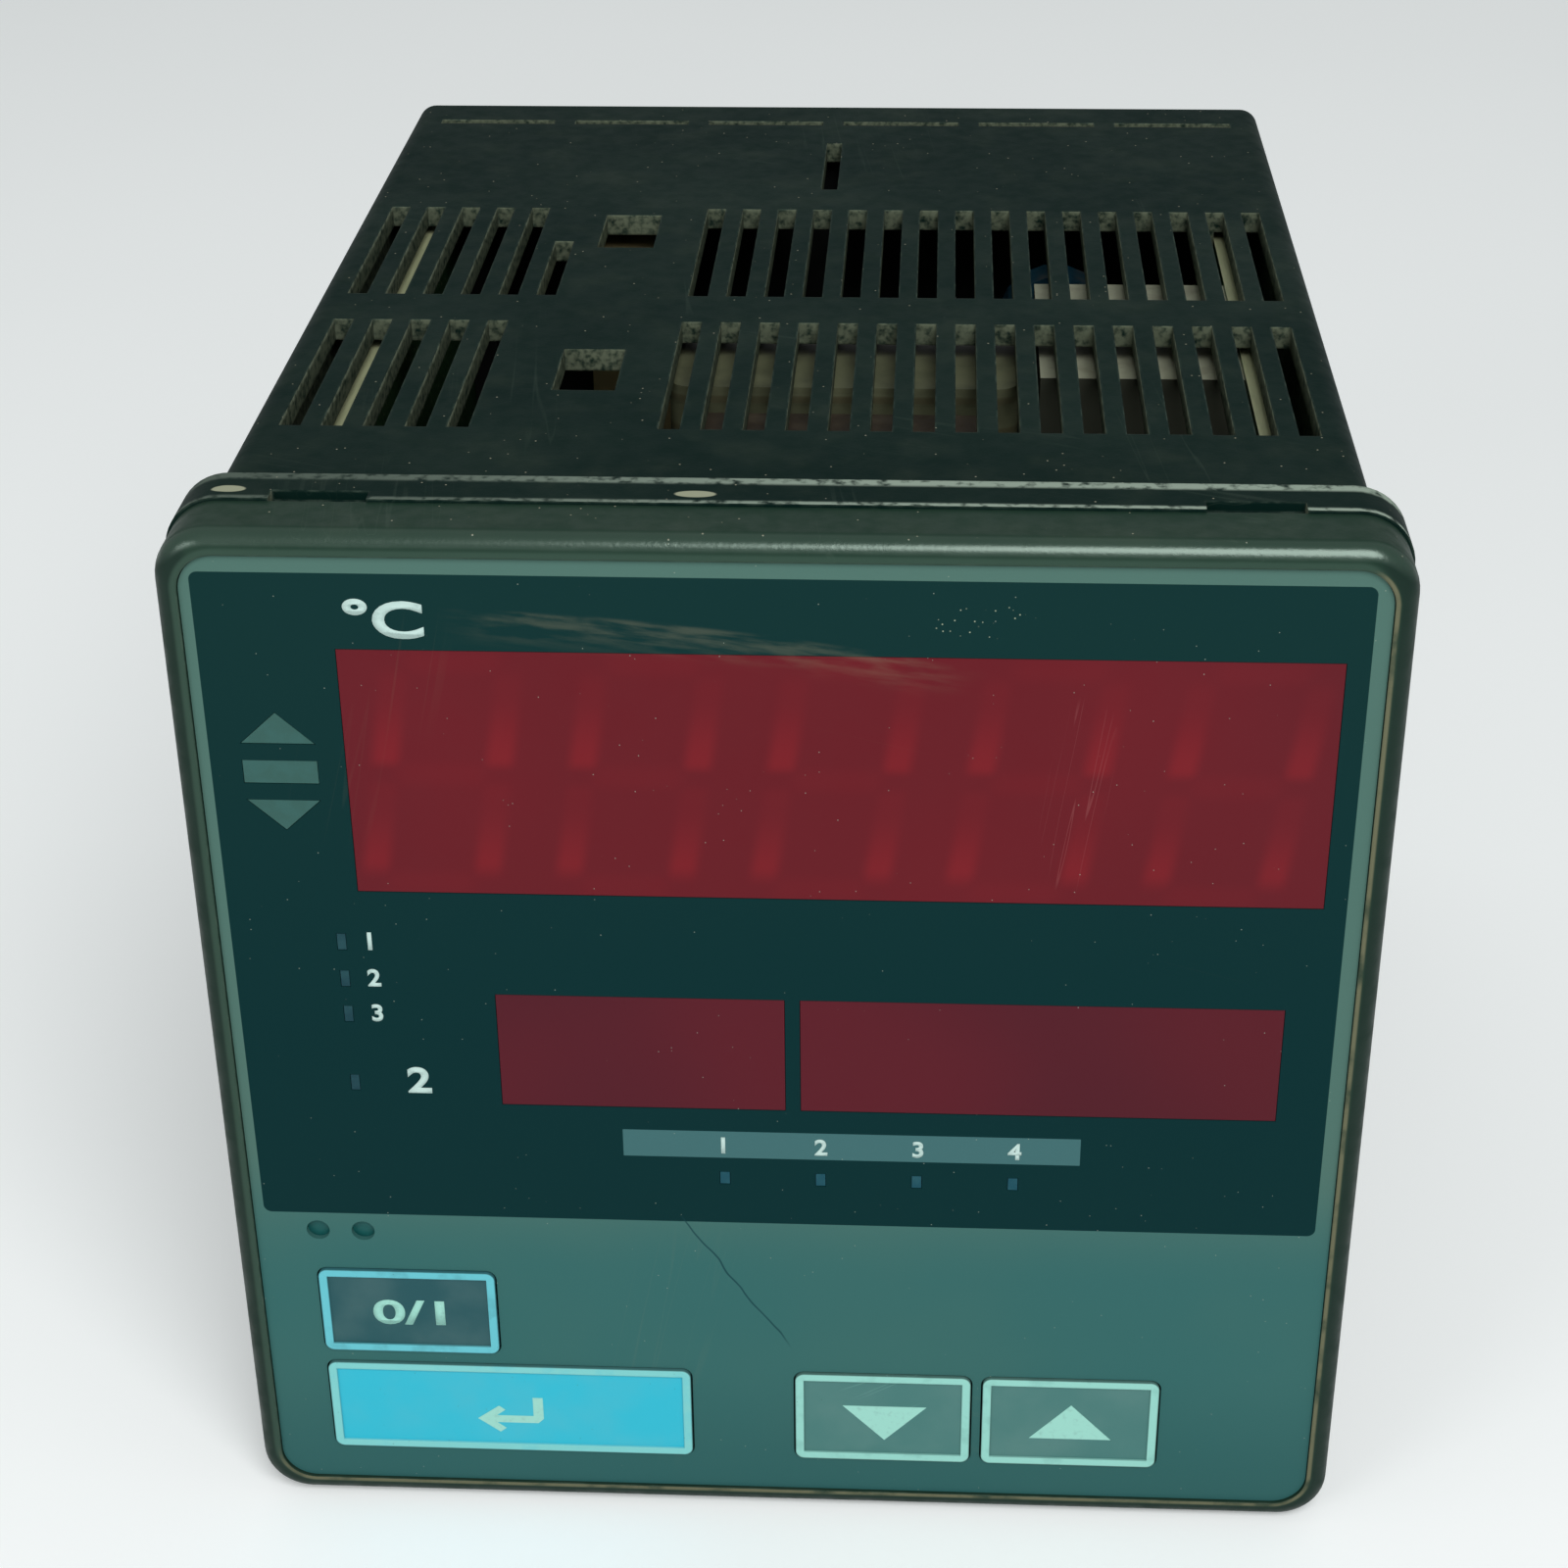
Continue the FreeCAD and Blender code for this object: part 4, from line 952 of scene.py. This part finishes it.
class CONTROLLER_OT_keys(Operator):
    """Print the keys and put their marks on them"""

    bl_idname = "controller.keys"
    bl_label = "Keys"

    def execute(self, context):
        look = context.scene.controller_key
        colours = {
            "mode": (look.mode_field, look.mode_border),
            "enter": (look.enter_field, look.enter_border),
            "down": (look.arrow_field, look.arrow_border),
            "up": (look.arrow_field, look.arrow_border),
        }
        for key, slot in KEYS.items():
            smooth_surface(key + "_key", key + "_button", key_finish(key, *colours[key], look))
        ink = legend_finish("key_ink", look.mark)
        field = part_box("mode_key")[0].y + KEY_RIM * MM
        lettering("mode_mark", "0/1", (-36.3, -30.0, -28.1, -25.4), field, ink, "mode_button",
                  weight=0.025)
        outlines = {
            "enter": (((-22.8, -36.1), (-21.9, -36.1), (-21.9, -38.2), (-22.8, -38.2)),
                      ((-22.8, -38.2), (-21.9, -38.2), (-21.9, -38.5), (-22.4, -39.0), (-22.8, -39.0)),
                      ((-26.1, -38.2), (-22.8, -38.2), (-22.8, -39.0), (-26.1, -39.0)),
                      ((-27.8, -38.6), (-26.1, -38.2), (-26.1, -39.0)),
                      ((-27.8, -38.6), (-26.1, -39.0), (-25.3, -39.65), (-25.85, -40.1)),
                      ((-27.8, -38.6), (-25.85, -37.1), (-25.3, -37.55), (-26.1, -38.2))),
            "down": (((4.72, -36.0), (8.42, -39.84), (12.1, -36.0)),),
            "up": (((21.2, -39.15), (28.4, -39.15), (24.8, -35.3)),),
        }
        for key, shapes in outlines.items():
            piece = start_mark()
            for corners in shapes:
                add_outline(corners)
            finish_mark(piece, key + "_mark", field, ink, key + "_button")
        return {"FINISHED"}


class CONTROLLER_OT_boards(Operator):
    """Finish the circuit boards, their links and sockets"""

    bl_idname = "controller.boards"
    bl_label = "Boards"

    def execute(self, context):
        resist = rgb(22, 74, 46)
        fibre = rgb(196, 202, 160)
        upright = board_finish("board_upright", resist, fibre)
        flat = flat_board_finish("board_flat", resist, fibre)
        for node in ("power_side_board", "logic_side_board"):
            dress(node, upright)
        for node in ("display_board", "supply_board"):
            dress(node, flat)
        dress_parts("link_black", (24, 26, 26), (52, 52, 48), "board_links", "edge_sockets", "key_switches")
        dress_parts("holder_black", (18, 20, 20), (40, 40, 38), "display_holder", roughness=0.6,
                    specular=0.1)
        dress_parts("stem_black", (20, 22, 22), (46, 46, 44), *(key + "_switch_stem" for key in KEYS))
        return {"FINISHED"}


class CONTROLLER_OT_parts(Operator):
    """Finish the parts on the boards"""

    bl_idname = "controller.parts"
    bl_label = "Parts inside"

    def execute(self, context):
        dress("transformer_winding", winding_finish("winding_tape"))
        dress_parts("core_ferrite", (52, 50, 48), (84, 70, 56), "transformer_core", roughness=0.6)
        dress_parts("filter_brown", (74, 64, 52), (52, 46, 38), "mains_filter")
        # The relays' faces below their tops get painted shade.
        dress_parts("relay_white", (190, 194, 168), (160, 164, 136), "output_relays", sides=rgb(34, 38, 32))
        dress_parts("relay_black", (26, 28, 30), (60, 58, 54), "alarm_relays")
        dress_parts("capacitor_cream", (206, 190, 140), (168, 150, 104), "film_capacitor")
        dress_parts("disc_blue", (20, 62, 80), (40, 74, 84), "varistor")
        dress_parts("sink_metal", (168, 170, 168), (126, 124, 118), "heat_sink", roughness=0.35,
                    specular=0.5, metallic=0.9)
        for node in ("power_transistor", "logic_chips"):
            dress_parts(node + "_black", (28, 28, 30), (58, 56, 52), node)
        return {"FINISHED"}


class CONTROLLER_OT_cans(Operator):
    """Model the can capacitors with their sleeves and scored tops"""

    bl_idname = "controller.cans"
    bl_label = "Can capacitors"

    def execute(self, context):
        sleeve = part_finish("can_sleeve", rgb(30, 36, 44), rgb(60, 64, 70), 0.3, 0.4)
        low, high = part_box("can_capacitors")
        radius = 0.0058
        rim = 0.0006
        sink = 0.0003
        groove = 0.0002
        spacing = 0.018
        height = high.z - low.z
        bpy.ops.mesh.primitive_cylinder_add(vertices=40, radius=radius, depth=height,
                                            location=(0.0, 0.0, height / 2))
        first = bpy.context.object
        edit("DESELECT")
        leave_edit()
        for face in first.data.polygons:
            face.select = face.normal.z > 0.9
        bpy.ops.object.mode_set(mode="EDIT")
        for inset, depth in ((rim, sink), (groove, groove)):
            bpy.ops.mesh.inset(thickness=inset)
            bpy.ops.transform.translate(value=(0.0, 0.0, -depth))
        leave_edit()
        round_edges(first, "rolled_rim", 0.0004)
        bpy.ops.object.shade_smooth_by_angle(angle=math.radians(40))
        middle = (low.x + high.x) / 2
        count = 1 + round((high.y - low.y - 2 * radius) / spacing)
        start = (low.y + high.y) / 2 - (count - 1) * spacing / 2
        for i in range(count):
            can = copy_of(first)
            can.location = (middle, start + i * spacing, low.z)
            settle(can, "can_%d" % (i + 1), sleeve, HOUSING)
            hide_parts("can_capacitors")
        bpy.data.objects.remove(first)
        return {"FINISHED"}


class CONTROLLER_OT_terminals(Operator):
    """Model the terminal screws and number the terminals"""

    bl_idname = "controller.terminals"
    bl_label = "Terminals"

    def execute(self, context):
        dress_parts("block_black", (22, 26, 26), (50, 52, 48), "terminal_block", roughness=0.5,
                    specular=0.2)
        steel = part_finish("plated_steel", rgb(186, 182, 168), rgb(150, 140, 116), 0.28, 0.5, 1.0, 0.0002)
        low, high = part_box("terminal_screws")
        model = self.model_screw(high.y)
        columns = 3
        rows = 10
        plate_w = 0.008
        plate_h = 0.006
        number_aside = 7.4
        number_half = 0.9
        pitch_x = (high.x - low.x - plate_w) / (columns - 1)
        pitch_z = (high.z - low.z - plate_h) / (rows - 1)
        ink = legend_finish("number_ink", rgb(196, 198, 186))
        wall = low.y + TERMINAL_WALL
        for column in range(columns):
            for row in range(rows):
                number = column * rows + row + 1
                x = high.x - plate_w / 2 - column * pitch_x
                z = high.z - plate_h / 2 - row * pitch_z
                screw = copy_of(model)
                screw.rotation_euler = (0.0, 0.7 * math.sin(5.3 * number), 0.0)
                pick_only(screw)
                bpy.ops.object.transform_apply(location=False, rotation=True, scale=True)
                self.add_plate(screw, plate_w, plate_h, wall, high.y - SCREW_HEAD)
                screw.location = (x, 0.0, z)
                settle(screw, "terminal_screw_%02d" % number, steel, HOUSING)
                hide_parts("terminal_screws")
                x_mm = (x - FACE_X) / MM + number_aside
                z_mm = (z - FACE_Z) / MM
                lettering("terminal_number_%02d" % number, str(number),
                          (x_mm, x_mm, z_mm - number_half, z_mm + number_half), wall, ink, HOUSING,
                          turn=math.pi)
        bpy.data.objects.remove(model)
        return {"FINISHED"}

    def model_screw(self, top):
        """Pan head with a cross recess and a slot, standing off its plate towards the rear."""
        radius = 0.0028
        bpy.ops.mesh.primitive_cylinder_add(vertices=32, radius=radius, depth=SCREW_HEAD,
                                            location=(0.0, top - SCREW_HEAD / 2, 0.0),
                                            rotation=(-math.pi / 2, 0.0, 0.0))
        screw = bpy.context.object
        pick_only(screw)
        bpy.ops.object.transform_apply(location=True, rotation=True, scale=True)
        for face in screw.data.polygons:
            face.select = face.normal.y > 0.9
        bpy.ops.object.mode_set(mode="EDIT")
        bpy.ops.mesh.select_mode(type="FACE")
        bpy.ops.mesh.inset(thickness=0.0005)
        leave_edit()
        round_edges(screw, "rounded_head", 0.0005)
        for length, width, depth in ((0.0040, 0.0008, 0.0009), (0.0008, 0.0026, 0.0011)):
            self.cut_recess(screw, length, width, depth, top)
        pick_only(screw)
        bpy.ops.object.shade_smooth_by_angle(angle=math.radians(35))
        return screw

    def cut_recess(self, screw, length, width, depth, top):
        bpy.ops.mesh.primitive_cube_add(size=1.0, location=(0.0, top, 0.0),
                                        scale=(length, 2 * depth, width))
        cutter = bpy.context.object
        bpy.ops.object.transform_apply(location=True, rotation=True, scale=True)
        pick_only(screw)
        recess = screw.modifiers.new("recess", "BOOLEAN")
        recess.operation = "DIFFERENCE"
        recess.solver = "EXACT"
        recess.object = cutter
        bpy.ops.object.modifier_apply(modifier=recess.name)
        bpy.data.objects.remove(cutter)

    def add_plate(self, screw, width, height, wall, front):
        """Adds the square clamp plate under the head, with its edges rounded."""
        back = wall + 0.00001
        pick_only(screw)
        edit("DESELECT")
        middle = (back + front) / 2
        bpy.ops.mesh.primitive_cube_add(size=1.0, location=(0.0, middle, 0.0))
        bpy.ops.transform.resize(value=(width - 0.0004, front - back, height - 0.0002),
                                 center_override=(0.0, middle, 0.0))
        bpy.ops.mesh.bevel(offset=0.00018, segments=2, affect="EDGES")
        leave_edit()


class CONTROLLER_OT_stage(Operator):
    """Set the floor, the lamps and the camera"""

    bl_idname = "controller.stage"
    bl_label = "Stage"

    def execute(self, context):
        look = context.scene.controller_stage
        bpy.ops.mesh.primitive_plane_add(size=2.4, location=(0.0, 0.0, CAD_BOX[0].z))
        floor = bpy.context.object
        floor.name = "floor"
        bpy.ops.object.mode_set(mode="EDIT")
        bpy.ops.mesh.subdivide(number_cuts=3)
        leave_edit()
        mat = Finish("floor_paper", look.floor, 0.85, 0.1)
        mat.tint(mat.clouds(0.2, 2, 0.3, 0.8), rgb(240, 243, 243), 0.5)
        mat.lift(mat.noise(0.0009, 2), 0.00001)
        rays = mat.add("ShaderNodeLightPath").outputs
        seen = mat.either(rays["Is Camera Ray"], rays["Is Glossy Ray"], rays["Is Transmission Ray"])
        mat.feed(mat.shader.inputs["Emission Color"], look.floor)
        mat.feed(mat.shader.inputs["Emission Strength"], mat.times(seen, look.floor_glow))
        floor.data.materials.append(mat.done())
        mat.material.cycles.emission_sampling = "NONE"
        pick_only(floor)
        bpy.ops.object.transform_apply(location=True, rotation=True, scale=True)
        self.hang_lamp("key_lamp", (0.17, -0.52, 0.6), 0.45, look.key_light)
        self.hang_lamp("fill_lamp", (-0.5, -0.6, 0.35), 0.35, look.fill_light)
        world = bpy.data.worlds.new("room")
        world.use_nodes = True
        sky = world.node_tree.nodes["Background"]
        sky.inputs["Color"].default_value = (0.97, 1.0, 1.0, 1.0)
        sky.inputs["Strength"].default_value = look.room
        context.scene.world = world
        self.place_camera(context, look)
        context.scene.view_settings.view_transform = "Standard"
        return {"FINISHED"}

    def hang_lamp(self, name, place, size, power):
        aim = Vector((0.0, 0.0, 0.05)) - Vector(place)
        bpy.ops.object.light_add(type="AREA", location=place)
        lamp = bpy.context.object
        lamp.name = name
        lamp.rotation_euler = aim.to_track_quat("-Z", "Y").to_euler()
        lamp.data.shape = "DISK"
        lamp.data.size = size
        lamp.data.energy = power

    def place_camera(self, context, look):
        down, aside, tilt = look.down, look.aside, look.tilt
        ahead = Vector((math.sin(aside) * math.cos(down), math.cos(aside) * math.cos(down),
                        -math.sin(down)))
        right = Vector((math.cos(aside), -math.sin(aside), 0.0))
        up = right.cross(ahead)
        side = math.cos(tilt) * right + math.sin(tilt) * up
        top = math.cos(tilt) * up - math.sin(tilt) * right
        bpy.ops.object.camera_add()
        camera = bpy.context.object
        turn = Matrix((side, top, -ahead)).transposed().to_4x4()
        camera.matrix_world = Matrix.Translation(CAMERA_PLACE) @ turn
        camera.data.lens = look.lens
        camera.data.sensor_width = 36.0
        camera.data.clip_start = 0.01
        context.scene.camera = camera


STEPS = (
    CONTROLLER_OT_case,
    CONTROLLER_OT_bezel,
    CONTROLLER_OT_face,
    CONTROLLER_OT_windows,
    CONTROLLER_OT_lamps,
    CONTROLLER_OT_keys,
    CONTROLLER_OT_boards,
    CONTROLLER_OT_parts,
    CONTROLLER_OT_cans,
    CONTROLLER_OT_terminals,
    CONTROLLER_OT_stage,
)
LOOKS = {
    "controller_case": ControllerCaseLook,
    "controller_face": ControllerFaceLook,
    "controller_window": ControllerWindowLook,
    "controller_key": ControllerKeyLook,
    "controller_stage": ControllerStageLook,
}


class CONTROLLER_PT_sidebar(Panel):
    """Steps and settings of the controller"""

    bl_idname = "CONTROLLER_PT_sidebar"
    bl_label = "Controller"
    bl_space_type = "VIEW_3D"
    bl_region_type = "UI"
    bl_category = "Controller"

    def draw(self, context):
        for step in STEPS:
            self.layout.operator(step.bl_idname)
        for name, look in LOOKS.items():
            box = self.layout.box()
            box.label(text=look.__doc__)
            for prop in look.__annotations__:
                box.prop(getattr(context.scene, name), prop)


def register():
    for name, look in LOOKS.items():
        bpy.utils.register_class(look)
        setattr(bpy.types.Scene, name, PointerProperty(type=look))
    for kind in (*STEPS, CONTROLLER_PT_sidebar):
        bpy.utils.register_class(kind)


def unregister():
    for kind in (CONTROLLER_PT_sidebar, *reversed(STEPS)):
        bpy.utils.unregister_class(kind)
    for name, look in LOOKS.items():
        delattr(bpy.types.Scene, name)
        bpy.utils.unregister_class(look)


def main():
    register()
    for step in STEPS:
        family, action = step.bl_idname.split(".")
        getattr(getattr(bpy.ops, family), action)()
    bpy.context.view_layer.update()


if __name__ == "__main__":
    main()
